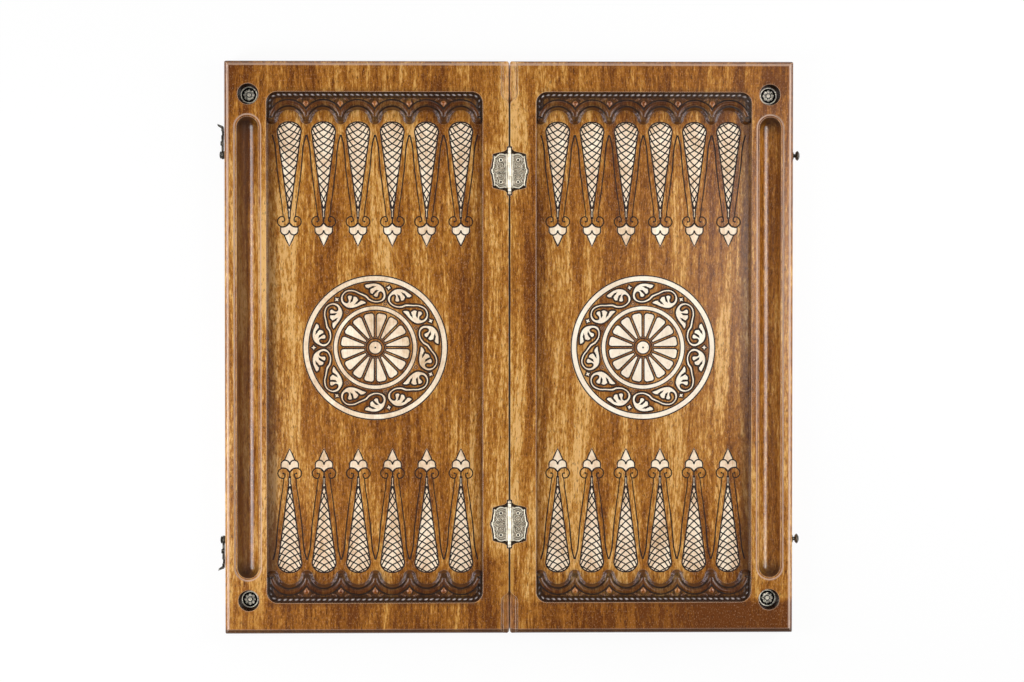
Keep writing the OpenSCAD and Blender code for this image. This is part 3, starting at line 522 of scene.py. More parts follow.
def stained_wood(name, tint=None):
    material, tree, shader, where = new_finish(name)
    tone, pores = wood_tones(tree, where)
    black_grooves_and_shade, strong_stain_and_shade, mild_shade, arcade, level = dark_places(tree, where)
    painted_highlight_lines, painted_moulding_shade = rim_edge_highlight_and_shade(tree, where)
    painted_highlight_lines = largest(tree, painted_highlight_lines, product(tree, trough_lip_highlight(tree, where), 1.6))
    # Painted glints: light specks scattered over the lacquered wood.
    specks = remap(tree, noise(tree, where, (1, 0.5, 1), 1000, 1.0), 0.58, 0.72)
    sky = add(tree, "AmbientOcclusion", {"Distance": 3.5 * MM}, samples=6, only_local=True)
    open_sky = sky.outputs["AO"]
    # Sanded edges rubbed pale, with a painted highlight on them, less in the crevices and in the
    # arcade.
    wear_and_highlight = product(tree, edge_wear_and_highlight(tree, 1.1 * MM), remap(tree, open_sky, 0.7, 0.9))
    wear_and_highlight = maths(tree, "MULTIPLY", wear_and_highlight, maths(tree, "SUBTRACT", 0.85, arcade), clamp=True)
    layers = [
        (remap(tree, pores, 0, 1, 0.6, 0.0), (0.04, 0.010, 0.001)),
        # Painted glints in light specks.
        (product(tree, specks, 0.25), (0.70, 0.44, 0.25)),
        # Painted shade in the crevices found by the Ambient Occlusion node, with the stain that
        # gathers there.
        (remap(tree, open_sky, 0.35, 0.95, 0.65, 0.0), (0.035, 0.011, 0.003)),
        # Mild painted shade.
        (maths(tree, "MULTIPLY", mild_shade, 0.5, clamp=True), (0.07, 0.024, 0.006)),
        # Strong stain with painted shade.
        (product(tree, strong_stain_and_shade, 0.88), (0.014, 0.005, 0.002)),
        # Sanded edges with a painted highlight.
        (wear_and_highlight, (0.74, 0.49, 0.31)),
        # Painted highlight lines, and painted shade on the near moulding.
        (product(tree, painted_highlight_lines, 0.45), (0.70, 0.48, 0.36)),
        (product(tree, painted_moulding_shade, 0.8), (0.06, 0.025, 0.010)),
        # Black grooves, and painted black shade in the mortises and the seam.
        (product(tree, black_grooves_and_shade, 0.96), (0.008, 0.005, 0.003)),
    ]
    colour = layered(tree, ramp(tree, tone, stain_stops), layers)
    if tint:
        colour = blend(tree, 1.0, colour, tint, "MULTIPLY")
    facing = axes(tree, add(tree, "NewGeometry").outputs["True Normal"])
    end_grain = remap(tree, maths(tree, "ABSOLUTE", facing["Y"]), 0.6, 0.9, 0.0, 0.55)
    sides = remap(tree, maths(tree, "ABSOLUTE", facing["X"]), 0.35, 0.75)
    # Painted glints: grey-violet light in patches on the arcade's walls that face left or right.
    painted_glints = remap(tree, noise(tree, where, (1, 1, 1), 380), 0.48, 0.58, 0.0, 0.7)
    painted_glints = product(tree, sides, arcade, painted_glints)
    last_layers = [(end_grain, (0.13, 0.045, 0.009)), (painted_glints, (0.30, 0.25, 0.28))]
    colour = layered(tree, colour, last_layers)
    tree.links.new(colour, shader.inputs["Base Color"])
    lacquer(tree, shader, weighted(tree, (tone, 1.0), (pores, 0.6)), 1.1 * MM, level)
    return material


board_wood = stained_wood("walnut_stained_wood")
ground_wood = stained_wood("medallion_ground_wood", (0.82, 0.78, 0.75))
carved_wood = stained_wood("carved_stained_wood", (0.45, 0.36, 0.28))
drop_wood = stained_wood("carved_drop_wood", (1.1, 0.8, 0.5))
print("stained woods with", len(board_wood.node_tree.nodes), "nodes")

# %% [markdown]
# ## Light wood
#
# The inlays are left in the wood's own pale colour under the same lacquer. Up close they aren't white:
# the cream drifts to pink from piece to piece, faint fibres run along the grain, and a few small
# specks of darker wood show. The medallions, and the right one above all, are cut from a whiter piece.

# %% Light wood
def light_wood():
    material, tree, shader, where = new_finish("light_inlay_wood")
    drift = noise(tree, where, (1, 0.5, 1), 45)
    fibres = noise(tree, where, (1, 0.07, 1), 900)
    blotches = noise(tree, where, (1, 1, 1), 240)
    tone = weighted(tree, (drift, 0.9), (fibres, 0.35), (blotches, 0.45))
    stops = [(0.0, (0.62, 0.41, 0.23)), (0.4, (0.82, 0.63, 0.44)), (1.0, (1.0, 0.90, 0.72))]
    colour = ramp(tree, remap(tree, tone, 0.6, 1.1), stops)
    x, y, _ = axes(tree, where)
    whiter = product(tree, between(tree, y, -78, 78), 0.5, step(tree, x, -50, 50, 0.1, 1.0))
    specks = remap(tree, noise(tree, where, (1, 0.6, 1), 620, 1.0), 0.24, 0.31)
    specks = remap(tree, specks, 0, 1, 0.5, 0.0)
    colour = layered(tree, colour, [(whiter, (0.96, 0.90, 0.78)), (specks, (0.55, 0.30, 0.14))])
    tree.links.new(colour, shader.inputs["Base Color"])
    lacquer(tree, shader, fibres, 0.15 * MM)
    return material


inlay_wood = light_wood()
print("light wood with", len(inlay_wood.node_tree.nodes), "nodes")

# %% [markdown]
# ## Burnt lines and beads with a painted highlight
#
# Outlines, nets and stems are drawn with a hot tool. The line is nearly black in the middle and brown
# where the tool ran lightly, and it stays matt. The beads along the fields' ends are dark with stain,
# and their tops get a painted highlight, a light grey set by height.

# %% Burnt finishes, and the bead finish with a painted highlight
def burnt_finish(name, colour, weak):
    material, tree, shader, where = new_finish(name, {"Roughness": 0.6, "Specular IOR Level": 0.2})
    patches = remap(tree, noise(tree, where, (1, 1, 1), 160), 0.45, 0.7)
    tree.links.new(blend(tree, patches, colour, weak), shader.inputs["Base Color"])
    return material


def bead_finish_with_painted_highlight(name):
    """Dark stained wood with a painted highlight on its tops, set by height alone."""
    gloss = {"Roughness": 0.35, "Coat Weight": 1.0, "Coat Roughness": 0.15}
    material, tree, shader, where = new_finish(name, gloss)
    uneven = product(tree, noise(tree, where, (1, 1, 1), 250), 0.5 * MM)
    height = maths(tree, "ADD", axes(tree, where)["Z"], uneven)
    # The painted highlight: light grey on the tops of the beads, by height.
    top = remap(tree, height, channel_level + 0.95 * MM, channel_level + 1.25 * MM)
    colour = blend(tree, top, (0.03, 0.013, 0.007), (0.50, 0.42, 0.40))
    tree.links.new(colour, shader.inputs["Base Color"])
    return material


burnt = burnt_finish("burnt_line", (0.007, 0.004, 0.003), (0.022, 0.010, 0.005))
engraved = burnt_finish("engraved_line", (0.02, 0.008, 0.004), (0.07, 0.028, 0.01))
highlit_bead_material = bead_finish_with_painted_highlight("stained_beads_painted_highlight")
print("two line finishes and the bead finish")

# %% [markdown]
# ## Old metal
#
# Hinges, hooks and discs are cast from a pale brass and darkened. The relief is rubbed bright again,
# and the dark stays in the hollows. An Ambient Occlusion node finds those hollows, and the height
# above the ground of the casting tells which parts a thumb would rub.

# %% Old metal
def old_metal(name, stops, levels, rough, metallic=1.0):
    """Metal that is dark in its hollows and bright where it stands high, between two levels."""
    material, tree, shader, where = new_finish(name, {"Metallic": metallic})
    grain = noise(tree, where, (1, 1, 1), 900, 3.0, 0.6)
    patches = noise(tree, where, (1, 1, 1), 380)
    open_sky = add(tree, "AmbientOcclusion", {"Distance": 1.3 * MM}, samples=6).outputs["AO"]
    height = axes(tree, where)["Z"]
    over = remap(tree, height, levels[1] + 0.1 * MM, levels[1] + 0.6 * MM, 0.5, 0.32)
    high = product(tree, remap(tree, height, *levels), over)
    wear_and_highlight = weighted(tree, (open_sky, 0.5), (patches, 0.6), (grain, 0.4), (high, 1.0))
    colour = ramp(tree, remap(tree, wear_and_highlight, 0.75, 1.45), stops)
    roughness = remap(tree, grain, 0.3, 0.7, rough * 0.75, rough * 1.3)
    rounded = add(tree, "Bevel", {"Radius": 0.25 * MM}, samples=4).outputs[0]
    pits = {"Height": grain, "Strength": 0.5, "Distance": 0.08 * MM, "Normal": rounded}
    tree.links.new(colour, shader.inputs["Base Color"])
    tree.links.new(roughness, shader.inputs["Roughness"])
    tree.links.new(add(tree, "Bump", pits).outputs[0], shader.inputs["Normal"])
    return material


brass_stops = [
    (0.0, (0.05, 0.038, 0.022)),
    (0.35, (0.36, 0.30, 0.22)),
    (0.6, (0.60, 0.53, 0.41)),
    (1.0, (0.88, 0.82, 0.68)),
]
disc_stops = [(0.0, (0.004, 0.004, 0.004)), (0.6, (0.014, 0.013, 0.012)), (1.0, (0.80, 0.74, 0.62))]
latch_stops = [(0.0, (0.008, 0.007, 0.006)), (0.5, (0.05, 0.046, 0.04)), (1.0, (0.40, 0.38, 0.33))]
hinge_metal = old_metal("antique_brass", brass_stops, (29.55 * MM, 30.1 * MM), 0.42, 0.6)
disc_metal = old_metal("dark_disc_metal", disc_stops, (17.0 * MM, 17.45 * MM), 0.3)
dark_metal = old_metal("dark_antique_metal", latch_stops, (0, 60 * MM), 0.36)
print("three metals")

# %% Finishes for the solid parts
finishes = {
    "stained_wood": board_wood,
    "light_wood": inlay_wood,
    "antique_brass": hinge_metal,
    "dark_metal": dark_metal,
}
slots = {part["node"]: part["material_slot"] for part in frame["record"]["subparts"]}
for name, node in nodes.items():
    material = finishes[slots[name]]
    if name.endswith("ground"):
        material = ground_wood
    if name.endswith("disc"):
        material = disc_metal
    node.data.materials.clear()
    node.data.materials.append(material)
print("finishes on", len(nodes), "solid parts")

# %% [markdown]
# ## Tools for the fine work
#
# Most of the fine work is drawn once for the right half and mirrored for the left one. Every piece is
# finished the same way: its place goes into its mesh, it gets its finish, and it rides on the half
# that carries it. Mirroring turns a shape inside out, so the mirrored faces are flipped back.

# %% Choosing and editing
def choose(piece):
    """Selects one piece and nothing else."""
    for thing in bpy.context.selected_objects:
        thing.select_set(False)
    piece.select_set(True)
    bpy.context.view_layer.objects.active = piece


def settle():
    """Puts the place, turn and size of the chosen piece into its mesh."""
    bpy.ops.object.transform_apply(location=True, rotation=True, scale=True)


def open_mesh():
    """Edit mode, with all of the chosen mesh selected."""
    bpy.ops.object.mode_set(mode="EDIT")
    bpy.ops.mesh.select_all(action="SELECT")


def close_mesh():
    bpy.ops.object.mode_set(mode="OBJECT")


def joined(parts):
    choose(parts[0])
    for part in parts[1:]:
        part.select_set(True)
    bpy.ops.object.join()
    return bpy.context.object


def select_points(piece, test):
    """Selects the points of a mesh in edit mode by their place."""
    bpy.ops.object.mode_set(mode="EDIT")
    bpy.ops.mesh.select_mode(type="VERT")
    bpy.ops.mesh.select_all(action="DESELECT")
    bpy.ops.object.mode_set(mode="OBJECT")
    for point in piece.data.vertices:
        point.select = test(point.co)
    bpy.ops.object.mode_set(mode="EDIT")


# %% Finishing, copying and mirroring
smooth_angle = math.radians(50)


def ready(piece, name, material, body):
    choose(piece)
    settle()
    piece.name = piece.data.name = name
    piece.data.materials.clear()
    piece.data.materials.append(material)
    bpy.ops.object.shade_smooth_by_angle(angle=smooth_angle)
    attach(piece, body)
    print(name, len(piece.data.polygons), "faces")


def copied(piece):
    copy = piece.copy()
    copy.data = piece.data.copy()
    bpy.context.scene.collection.objects.link(copy)
    return copy


def mirrored(piece, factors=(-1, 1, 1)):
    """A copy in a mirror through the middle of the board, its faces turned outwards again."""
    copy = copied(piece)
    choose(copy)
    open_mesh()
    bpy.ops.transform.resize(value=factors, center_override=(0, 0, 0))
    bpy.ops.mesh.flip_normals()
    close_mesh()
    return copy


def on_both_halves(piece, name, material):
    choose(piece)
    settle()
    other = mirrored(piece)
    ready(piece, "right_" + name, material, "right_half")
    ready(other, "left_" + name, material, "left_half")


def scattered(pattern, places):
    """Copies of a pattern at (x, y, z, turn in degrees, size), joined; the pattern itself goes."""
    copies = []
    for x, y, z, turn, size in places:
        copy = copied(pattern)
        copy.location = (x, y, z)
        copy.rotation_euler = (0, 0, math.radians(turn))
        copy.scale = (size, size, size)
        copies.append(copy)
    bpy.data.objects.remove(pattern)
    return joined(copies)


# %% [markdown]
# ## Drawn lines
#
# A burnt or engraved line is about a millimetre wide. It could be painted by a texture, but a thin
# line needs a very large picture to stay sharp, so it is a real strip here: a curve with a small
# round bevel, made a mesh and pressed nearly flat on the wood.

# %% A helper that draws lines
def drawn_lines(paths, width, level, press=0.3, roundness=0):
    """One mesh of pressed round lines. A path is a list of (x, y) or (x, y, relative width)."""
    data = bpy.data.curves.new("lines", "CURVE")
    data.dimensions = "3D"
    data.bevel_depth = width / 2
    data.bevel_resolution = roundness
    data.use_fill_caps = True
    for path in paths:
        line = data.splines.new("POLY")
        line.points.add(len(path) - 1)
        for point, spot in zip(line.points, path):
            point.co = (spot[0], spot[1], level, 1)
            point.radius = spot[2] if len(spot) > 2 else 1
    piece = bpy.data.objects.new("lines", data)
    bpy.context.scene.collection.objects.link(piece)
    choose(piece)
    bpy.ops.object.convert(target="MESH")
    open_mesh()
    bpy.ops.transform.resize(value=(1, 1, press), center_override=(0, 0, level))
    close_mesh()
    return bpy.context.object


def table(rows, place):
    """The value at a place, from rows of (place, value)."""
    for (a, low), (b, high) in zip(rows, rows[1:]):
        if place <= b:
            return low + (high - low) * (place - a) / (b - a)
    return rows[-1][1]


def at_points(paths):
    """The same paths at the twelve points of the right half, y measured from the middle line."""
    return [
        [(x + spot[0], side * spot[1], *spot[2:]) for spot in path]
        for x in arch_places
        for side in (1, -1)
        for path in paths
    ]


def with_mirror(paths):
    return paths + [[(-spot[0], *spot[1:]) for spot in path] for path in paths]


# %% [markdown]
# ## The net on the points
#
# Each point carries a net of burnt lines, drawn as if it were wrapped round a bulb: the strands
# flatten towards the edges, and the meshes shrink towards the tip. The rows where two strands cross on
# the middle line are given as a list, and each strand runs through its own crossing, first out to one
# side and then to the other. Near the head its reach is read from a table, and towards the tip it
# follows an exponential curve.

# %% The outline of a point
head_place, head_half, head_rise = 226.9 * MM, 12.2 * MM, 9.8 * MM
tip_place, tip_half, stem_end = 144.9 * MM, 1.1 * MM, 135.9 * MM


def point_half(y):
    """Half the width of a point at y."""
    if y >= head_place:
        return head_half * math.sqrt(max(0, 1 - ((y - head_place) / head_rise) ** 2))
    return table([(stem_end, 0.6 * MM), (tip_place, tip_half), (head_place, head_half)], y)


# %% The strands
crossings = [243.5, 236.4, 228.8, 221.4, 214.2, 207.4, 200.1]
crossings += [191.6, 183.3, 175.1, 166.3, 155.9, 145.7, 135.5]
crossing_rows = [(k - 2, y * MM) for k, y in enumerate(crossings)]
mesh_rows = [(130, 0.9), (145, 1.2), (151, 2.0), (161, 3.0), (170, 3.8), (179, 4.4), (187, 4.6)]
mesh_rows += [(195, 4.8), (215, 4.8), (245, 4.8)]
mesh_rows = [(y * MM, half * MM) for y, half in mesh_rows]
reach_rows = [(-2.4, -2.6), (-2.15, -2.43), (-1.42, -1.86), (-1.0, -1.45), (-0.66, -1.05)]
reach_rows += [(-0.3, -0.54), (0, 0), (0.17, 0.5), (0.35, 1.1), (0.57, 1.76), (0.8, 2.45)]
reach_rows += [(1.2, 3.6), (2.4, 7)]


def strand(start, bend=0.65, shortest=0.8 * MM):
    """The stretches of one strand that lie inside the point."""
    near_head = min(max(1 - start / 7, 0), 1)
    runs, run = [], []
    for k in range(-48, 49):
        t = k / 20
        y = table(crossing_rows, start + t)
        even = (math.exp(bend * t) - 1) / math.tanh(bend / 2)
        x = table(mesh_rows, y) * (near_head * table(reach_rows, t) + (1 - near_head) * even)
        in_range = -2 < start + t < 10.05
        inside = in_range and y < head_place + head_rise and abs(x) < point_half(y) + 0.15 * MM
        if inside and (not run or math.dist((x, y), run[-1][:2]) > shortest):
            run.append((x, y, 1.0))
        if not inside and run:
            runs.append(run)
            run = []
    return [r for r in runs + [run] if len(r) > 1]


net = with_mirror([run for k in range(-2, 12) for run in strand(k)])
net_piece = drawn_lines(at_points(net), 1.3 * MM, floor_level + 0.02 * MM)
on_both_halves(net_piece, "burnt_nets", burnt)

# %% [markdown]
# ## Stems, volutes and side lines
#
# Under each point a stem runs to a small flower between two volutes. From each volute an engraved line
# climbs beside the point until it meets its neighbour's between two points, like the ribs of a tent.
# The volute is a spiral, drawn from its angles and radii.

# %% Volutes and side lines
flower_top = 131.2 * MM
eye = (6.5 * MM, flower_top + 1.2 * MM)
turns = [(188, 6.5), (205, 6.25), (225, 6.0), (247, 5.85), (270, 5.8), (295, 5.8), (320, 5.9)]
turns += [(340, 6.0), (360, 6.0), (382, 5.95), (405, 5.8), (425, 5.6), (440, 5.4), (450, 5.2)]
turns += [(457, 4.85), (467, 4.0), (478, 3.1), (492, 2.2), (515, 1.5), (540, 1.0)]


def around(middle, turns):
    """Places round a middle, from angles in degrees and radii."""
    angles = [(math.radians(a), r) for a, r in turns]
    return [(middle[0] + r * math.cos(a), middle[1] + r * math.sin(a)) for a, r in angles]


volute = [(*spot, 1.25) for spot in around(eye, [(a, r * MM) for a, r in turns])]
climb = [(6.2, 136.6), (6.5, 139), (7.7, 150), (9.5, 161.9), (11.2, 175.9), (12.6, 186.4)]
climb += [(13.7, 200.5), (14.4, 209), (15.4, 215), (16.6, 219.5), (17.7, 223.5)]
climb = [(x * MM, y * MM, 1.0 + 0.5 * (y - 136) / 88) for x, y in climb]
stem = [(0, stem_end + 1.5 * MM, 1.3), (0, flower_top - 0.4 * MM, 1.5)]
line_piece = drawn_lines(at_points(with_mirror([volute, climb]) + [stem]), 1.05 * MM, floor_level)
on_both_halves(line_piece, "engraved_lines", burnt)

# %% Dots in the volutes
bpy.ops.mesh.primitive_uv_sphere_add(segments=12, ring_count=6, radius=1.0 * MM)
dot = bpy.context.object
choose(dot)
bpy.ops.transform.resize(value=(1, 1, 0.25))
settle()
dot_places = [
    (x + across * (eye[0] + 0.3 * MM), up * eye[1], floor_level, 0, 1)
    for x in arch_places
    for up in (1, -1)
    for across in (1, -1)
]
dot_places.append((medallion_middle, 0, floor_level + 0.05 * MM, 0, 1))
on_both_halves(scattered(dot, dot_places), "burnt_dots", burnt)

# %% [markdown]
# ## Burnt outlines of the inlays
#
# The burner follows the edge of every light inlay with the hot tool. Those edges are already in the
# solid parts, so they are traced there: a copy of the inlays is merged, and an edge that belongs to
# only one of its top faces lies on an outline. Chained one after another, such edges give the path of
# the tool.

# %% Tracing the top faces of a solid part
def outer_steps(piece):
    """Steps from point to point round the top faces, each with its face on the left."""
    points = piece.data.vertices
    top = max(point.co.z for point in points)
    steps = set()
    for face in piece.data.polygons:
        if face.normal.z > 0.9 and all(points[k].co.z > top - 0.05 * MM for k in face.vertices):
            corners = list(face.vertices)
            steps.update(zip(corners, corners[1:] + corners[:1]))
    return {a: b for a, b in steps if (b, a) not in steps}


def closed_rounds(ahead):
    rounds = []
    while ahead:
        here = next(iter(ahead))
        walk = [here]
        while here in ahead:
            here = ahead.pop(here)
            walk.append(here)
        rounds.append(walk)
    return rounds


def moved_outwards(walk, out):
    """A closed round moved to its right, which is away from its face."""
    moved = []
    for before, here, after in zip([walk[-2]] + walk[:-1], walk, walk[1:] + [walk[1]]):
        ahead = (after - before).normalized()
        moved.append((here.x + out * ahead.y, here.y - out * ahead.x))
    return moved


def outlines(name, width=1.0, out=0.3 * MM):
    copy = copied(nodes[name])
    copy.parent = None
    choose(copy)
    open_mesh()
    bpy.ops.mesh.remove_doubles(threshold=0.005 * MM)
    close_mesh()
    places = [point.co.xy.copy() for point in copy.data.vertices]
    walks = closed_rounds(outer_steps(copy))
    paths = [[(*at, width) for at in moved_outwards([places[k] for k in walk], out)] for walk in walks]
    bpy.data.objects.remove(copy)
    print(name, len(paths), "outlines")
    return paths


# %% Outlines round the inlays
traced = outlines("right_point_inlays", 1.45) + outlines("right_fleur_inlays", 1.4)
traced += outlines("right_medallion_petals", 1.45) + outlines("right_medallion_scrolls", 1.4)
on_both_halves(drawn_lines(traced, 1.0 * MM, floor_level + 0.01 * MM), "burnt_outlines", burnt)

# %% Scorched wood along the scrolls
scorched = outlines("right_medallion_scrolls", 1.0, 1.0 * MM)
scorched_piece = drawn_lines(scorched, 2.1 * MM, floor_level - 0.02 * MM, 0.05)
scorched_wood = burnt_finish("scorched_wood", (0.045, 0.017, 0.006), (0.15, 0.055, 0.016))
on_both_halves(scorched_piece, "scorched_edges", scorched_wood)

# %% [markdown]
# ## Rings on the medallion
#
# The medallion is cut like marquetry. Burnt rings run along its two light bands and round the hub,
# and a small ring is burnt between every two scrolls.

# %% Rings on the medallion
def circle(radius, width, steps=96):
    turns = [(360 * k / steps, radius) for k in range(steps + 1)]
    return [(*spot, width) for spot in around((medallion_middle, 0), turns)]


ring_sizes = [(75.8, 1.4), (69.9, 1.4), (43.95, 1.2), (39.3, 1.4), (9.7, 1.3), (6.8, 1.4)]
rings = [circle(r * MM, width) for r, width in ring_sizes]
scroll_count, small_ring_place = 7, 47.5 * MM
small_turns = [(360 * k / scroll_count, small_ring_place) for k in range(scroll_count)]
for off_x, off_y in around((0, 0), small_turns):
    rings.append([(x + off_x, y + off_y, width) for x, y, width in circle(1.55 * MM, 0.8, 14)])
on_both_halves(drawn_lines(rings, 1.0 * MM, floor_level - 0.02 * MM), "medallion_rings", burnt)

# %% [markdown]
# ## The carved arcade
#
# Round every arch the carver leaves a rounded band with two engraved lines, and between two arches a
# small drop between two leaves. The band is a flattened circle spun about the arch's middle. The drops
# and leaves are squeezed spheres, drawn to a point at one end.

# %% Bands round the arches
band_half, band_rise, band_span = 2.2 * MM, 0.5 * MM, 150


def arch_band(radius):
    """A flattened circle spun round the middle of an arch, open towards the point."""
    bpy.ops.mesh.primitive_circle_add(
        vertices=10, radius=1, location=(radius, 0, 0), rotation=(math.pi / 2, 0, 0)
    )
    band = bpy.context.object
    choose(band)
    bpy.ops.transform.resize(value=(band_half, 1, band_rise))
    settle()
    open_mesh()
    start = math.radians(90 - band_span / 2)
    bpy.ops.transform.rotate(value=-start, orient_axis="Z", center_override=(0, 0, 0))
    bpy.ops.mesh.spin(steps=28, angle=-math.radians(band_span), center=(0, 0, 0), axis=(0, 0, 1))
    bpy.ops.mesh.select_all(action="SELECT")
    bpy.ops.mesh.normals_make_consistent(inside=False)
    close_mesh()
    return band


band = arch_band(19.2 * MM)
low_y = min(point.co.y for point in band.data.vertices)
high_y = max(point.co.y for point in band.data.vertices)
print("bands reach from", round(low_y / MM, 1), "to", round(high_y / MM, 1), "mm")
band_level = ledge_level - 0.1 * MM
band_places = [
    (x, up * arch_row, band_level, 90 - 90 * up, 1) for x in arch_places for up in (1, -1)
]
on_both_halves(scattered(band, band_places), "arch_bands", carved_wood)


# %% Lines round the arches
def arch_line(radius, first, last, width, steps=20):
    """The same line round all arches of the right half, between two angles in degrees."""
    turns = [(first + (last - first) * k / steps, radius) for k in range(steps + 1)]
    line = around((0, arch_row + 1.0 * MM), turns)
    return [[(x + a, up * b, width) for a, b in line] for x in arch_places for up in (1, -1)]


arch_lines = arch_line(21.2 * MM, 32, 148, 1.0) + arch_line(18.2 * MM, 24, 156, 0.6)
on_both_halves(drawn_lines(arch_lines, 1.2 * MM, ledge_level + 0.2 * MM, 0.5), "arch_lines", burnt)

# %% Drops and leaves between the arches
def lobe(length, width, height, pointed=True):
    """A squeezed sphere that lies along y, its lower end drawn to a point."""
    bpy.ops.mesh.primitive_uv_sphere_add(
        segments=12, ring_count=8, radius=0.5, rotation=(math.pi / 2, 0, 0)
    )
    piece = bpy.context.object
    choose(piece)
    settle()
    if pointed:
        for depth, share in ((-0.02, 0.86), (-0.15, 0.75), (-0.3, 0.6)):
            select_points(piece, lambda co: co.y < depth)
            bpy.ops.transform.resize(value=(share, 1, 1), center_override=(0, 0, 0))
            close_mesh()
    bpy.ops.transform.resize(value=(width, length, 2 * height))
    settle()
    return piece


gaps = [arch_places[0] + pitch / 2 + k * pitch for k in range(5)]
drop_places = [(x, up * 255.4 * MM, ledge_level, 90 - 90 * up, 1) for x in gaps for up in (1, -1)]
leaf_places = [
    (x + across * 6.8 * MM, up * 259.9 * MM, ledge_level, 90 - 90 * up + up * across * 62, 1)
    for x in gaps
    for up in (1, -1)
    for across in (1, -1)
]
drops = scattered(lobe(6.4 * MM, 6.0 * MM, 0.9 * MM), drop_places)
on_both_halves(drops, "carved_drops", drop_wood)
leaves = scattered(lobe(6.6 * MM, 2.6 * MM, 0.6 * MM), leaf_places)
on_both_halves(leaves, "carved_leaves", carved_wood)

# %% Cuts beside the drops
beside_drop = [(3.4, 253), (3.9, 255.5), (3.3, 258.6), (1.4, 260.6)]
over_leaf = [(5.2, 262.2), (8.5, 260.8), (12.5, 260.2)]
cuts = [
    [(x + across * a * MM, up * b * MM, 0.9) for a, b in path]
    for x in gaps
    for up in (1, -1)
    for across in (1, -1)
    for path in (beside_drop, over_leaf)
]
on_both_halves(drawn_lines(cuts, 0.8 * MM, ledge_level, 0.4), "carved_cuts", engraved)

# %% [markdown]
# ## The rows of beads
#
# A row of slanted beads lies in a channel along the end wall of each field, turns both corners, and
# fades out down the sides. One bead is modelled, and copied along a path of straight runs and quarter
# circles. Near the ends of the path the beads get smaller.

# %% The path of the beads
def bead_path():
    """Up one side of a field, round a corner, along the end and down the other side."""
    left, right, top = field_near + 3.1 * MM, field_far - 3.1 * MM, field_end - 2.8 * MM
    r, low = 8.4 * MM, 238 * MM
    corner = top - r
    bend = [math.radians(180 - 9 * k) for k in range(11)]
    path = [(left, low + (corner - low) * k / 10) for k in range(10)]
    path += [(left + r + r * math.cos(a), corner + r * math.sin(a)) for a in bend]
    path += [(left + r + (right - left - 2 * r) * k / 100, top) for k in range(1, 100)]
    path += [(right - r - r * math.cos(a), corner + r * math.sin(a)) for a in reversed(bend)]
    path += [(right, corner - (corner - low) * k / 10) for k in range(1, 11)]
    return path


def along(path, spacing):
    """Places at even steps along a path: x, y and the direction in degrees."""
    lengths = [math.dist(a, b) for a, b in zip(path, path[1:])]
    count = round(sum(lengths) / spacing)
    stride = sum(lengths) / count
    places, walked = [], 0
    for a, b, length in zip(path, path[1:], lengths):
        while len(places) < count and (len(places) + 0.5) * stride <= walked + length:
            share = ((len(places) + 0.5) * stride - walked) / length
            turn = math.degrees(math.atan2(b[1] - a[1], b[0] - a[0]))
            places.append((a[0] + (b[0] - a[0]) * share, a[1] + (b[1] - a[1]) * share, turn))
        walked += length
    return places


# %% Beads
row = along(bead_path(), 5.9 * MM)
slant = 72
bead_places = []
for k, (x, y, turn) in enumerate(row):
    size = min(1, 0.45 + 0.14 * min(k, len(row) - 1 - k))
    bead_places.append((x, y, channel_level, turn - slant, size))
    bead_places.append((x, -y, channel_level, slant - turn, size))
bead_piece = scattered(lobe(5.0 * MM, 2.6 * MM, 1.0 * MM, pointed=False), bead_places)
on_both_halves(bead_piece, "bead_rows", highlit_bead_material)

# %% [markdown]
# ## Relief on the hinges
#
# The leaves are cast with a raised edge and scrolling foliage on a sunk ground. Half a leaf is drawn
# as lines with a round section, mirrored over the middle of the leaf, and the whole is copied to all
# four leaves. The relief stays just under the height at which the closed leaves would meet.

# %% Foliage on a leaf
leaf_ground = 29.5 * MM
relief_top = 30.2 * MM
edge_bead = [(2.9, 17.3), (5.0, 16.5), (7.5, 17.2), (10, 17.3), (12.3, 15.9), (14.2, 14.3)]
edge_bead += [(15.7, 15.0)]
side_bead = [(15.9, 15.1), (15.6, 11.6), (16.3, 7.5), (16.8, 4.2), (17.9, 1.8), (18.3, 0)]
inner_arc = [(4.6, 14.4), (7.2, 15.2), (9.8, 15.1), (11.8, 13.8), (13.2, 12.0), (13.7, 10.2)]
branch = [(17.4, 0.6), (15.4, 1.7), (13.8, 3.0), (13.0, 4.7), (13.3, 6.4), (14.2, 7.9), (14.3, 9.4)]
stem_line = [(13.8, 3.0), (12.2, 1.6), (10.4, 0.6), (9.0, 1.4), (7.6, 0.9), (6.1, 1.9), (4.9, 1.4)]
curl_turns = [(-35, 4.2), (0, 3.6), (40, 3.1), (80, 2.9), (120, 2.8), (165, 2.6), (210, 2.3)]
leaf_curl = around((9.2, 5.3), curl_turns + [(260, 1.8), (320, 1.2), (380, 0.7)])
twig = [(5.0, 3.4), (5.4, 5.4), (4.9, 7.4), (5.8, 9.0), (7.2, 8.9)]
barb = [(11.2, 12.9), (12.4, 11.4), (12.6, 9.6), (11.6, 8.6)]
nail_x, nail_y = 9, 11.5
nail_ring = around((nail_x, nail_y), [(a, 1.9) for a in range(0, 361, 24)])


def hinge_lines(paths, width):
    """Raised lines on the leaf at the upper right, mirrored over its middle."""
    upper = [[(x * MM, y * MM, 1.0) for x, y in path] for path in paths]
    lower = [[(x, -y, w) for x, y, w in path] for path in upper]
    placed = [[(x, hinge_places["upper"] + y, w) for x, y, w in path] for path in upper + lower]
    return drawn_lines(placed, width, leaf_ground, 2 * (relief_top - leaf_ground) / width, 2)


frame_lines = hinge_lines([edge_bead, side_bead], 1.0 * MM)
vine_lines = hinge_lines([inner_arc, branch, stem_line, leaf_curl, twig, barb, nail_ring], 0.7 * MM)

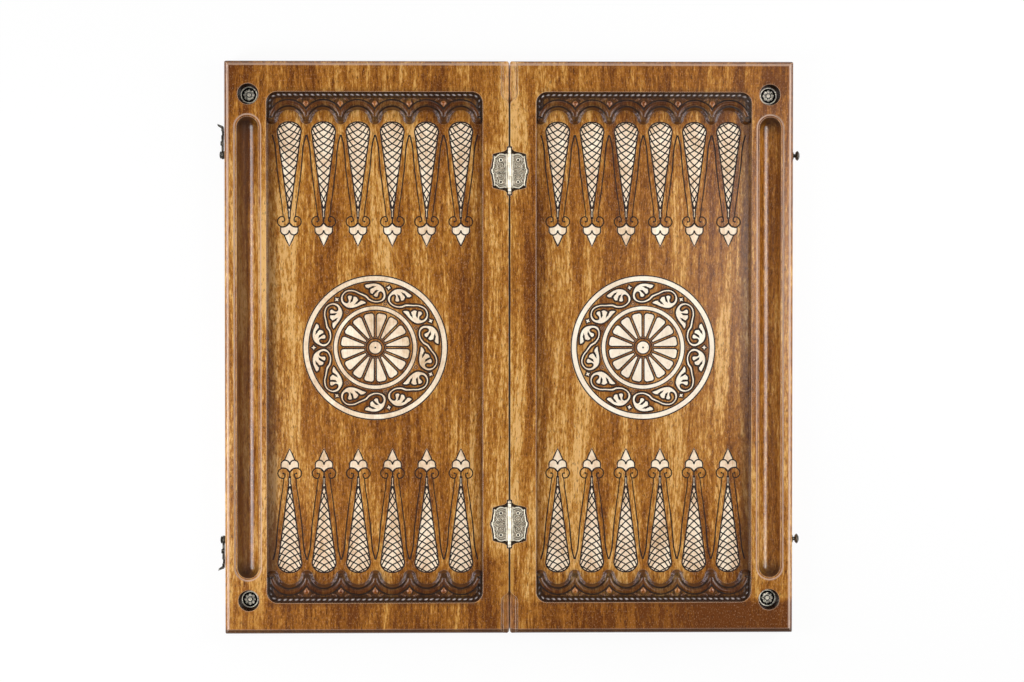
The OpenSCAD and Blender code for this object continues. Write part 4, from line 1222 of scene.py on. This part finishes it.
# %% Beads on a leaf
def half_bead(radius, rise):
    bpy.ops.mesh.primitive_uv_sphere_add(segments=10, ring_count=6, radius=radius)
    piece = bpy.context.object
    choose(piece)
    bpy.ops.transform.resize(value=(1, 1, rise / radius))
    settle()
    return piece


bead_spots = [(18.0, 0, 1.2), (16.3, 2.9, 0.8), (9.1, 5.2, 0.8), (11.4, 3.4, 0.7)]
bead_spots += [(4.6, 0.0, 0.9), (4.7, 11.3, 0.8)]
spots = [
    (x * MM, hinge_places["upper"] + up * y * MM, leaf_ground, 0, size)
    for x, y, size in bead_spots
    for up in ((1, -1) if y else (1,))
]
beads = scattered(half_bead(0.75 * MM, 0.6 * MM), spots)
# Painted shade: a flat dark disc on each nail stands for the shade in its hole.
nail_level = 30.02 * MM
nail_shade_places = [
    (nail_x * MM, middle + up * nail_y * MM, nail_level, 0, 1)
    for middle in hinge_places.values()
    for up in (1, -1)
]
nail_hole_shade = scattered(half_bead(1.0 * MM, 0.1 * MM), nail_shade_places)
on_both_halves(nail_hole_shade, "nail_hole_shade", burnt)

# %% The relief on all four leaves
relief = joined([frame_lines, vine_lines, beads])
choose(relief)
settle()
lower_relief = mirrored(relief, (1, -1, 1))
for piece, end in ((relief, "upper"), (lower_relief, "lower")):
    other = mirrored(piece)
    ready(piece, end + "_right_leaf_relief", hinge_metal, "right_half")
    ready(other, end + "_left_leaf_relief", hinge_metal, "left_half")

# %% [markdown]
# ## Rings on the hinge barrels
#
# Between the knuckles the barrel shows fine turned rings. A ring is a torus of a few dozen faces.

# %% Barrel rings
axis_level = 30.25 * MM
knuckle_radius, sunk, ring_wire = 2.35 * MM, 0.08 * MM, 0.24 * MM
rings_at = {"left_half": (7.0, 8.2, 17.4, -7.0, -8.2, -17.4), "right_half": (5.4, 4.4, -5.4, -4.4)}
for end, middle in hinge_places.items():
    for body, places in rings_at.items():
        rings = []
        for y in places:
            bpy.ops.mesh.primitive_torus_add(
                major_radius=knuckle_radius - sunk,
                minor_radius=ring_wire,
                major_segments=28,
                minor_segments=6,
                location=(0, middle + y * MM, axis_level),
                rotation=(math.pi / 2, 0, 0),
            )
            rings.append(bpy.context.object)
        side = body.split("_")[0]
        ready(joined(rings), end + "_" + side + "_barrel_rings", hinge_metal, body)
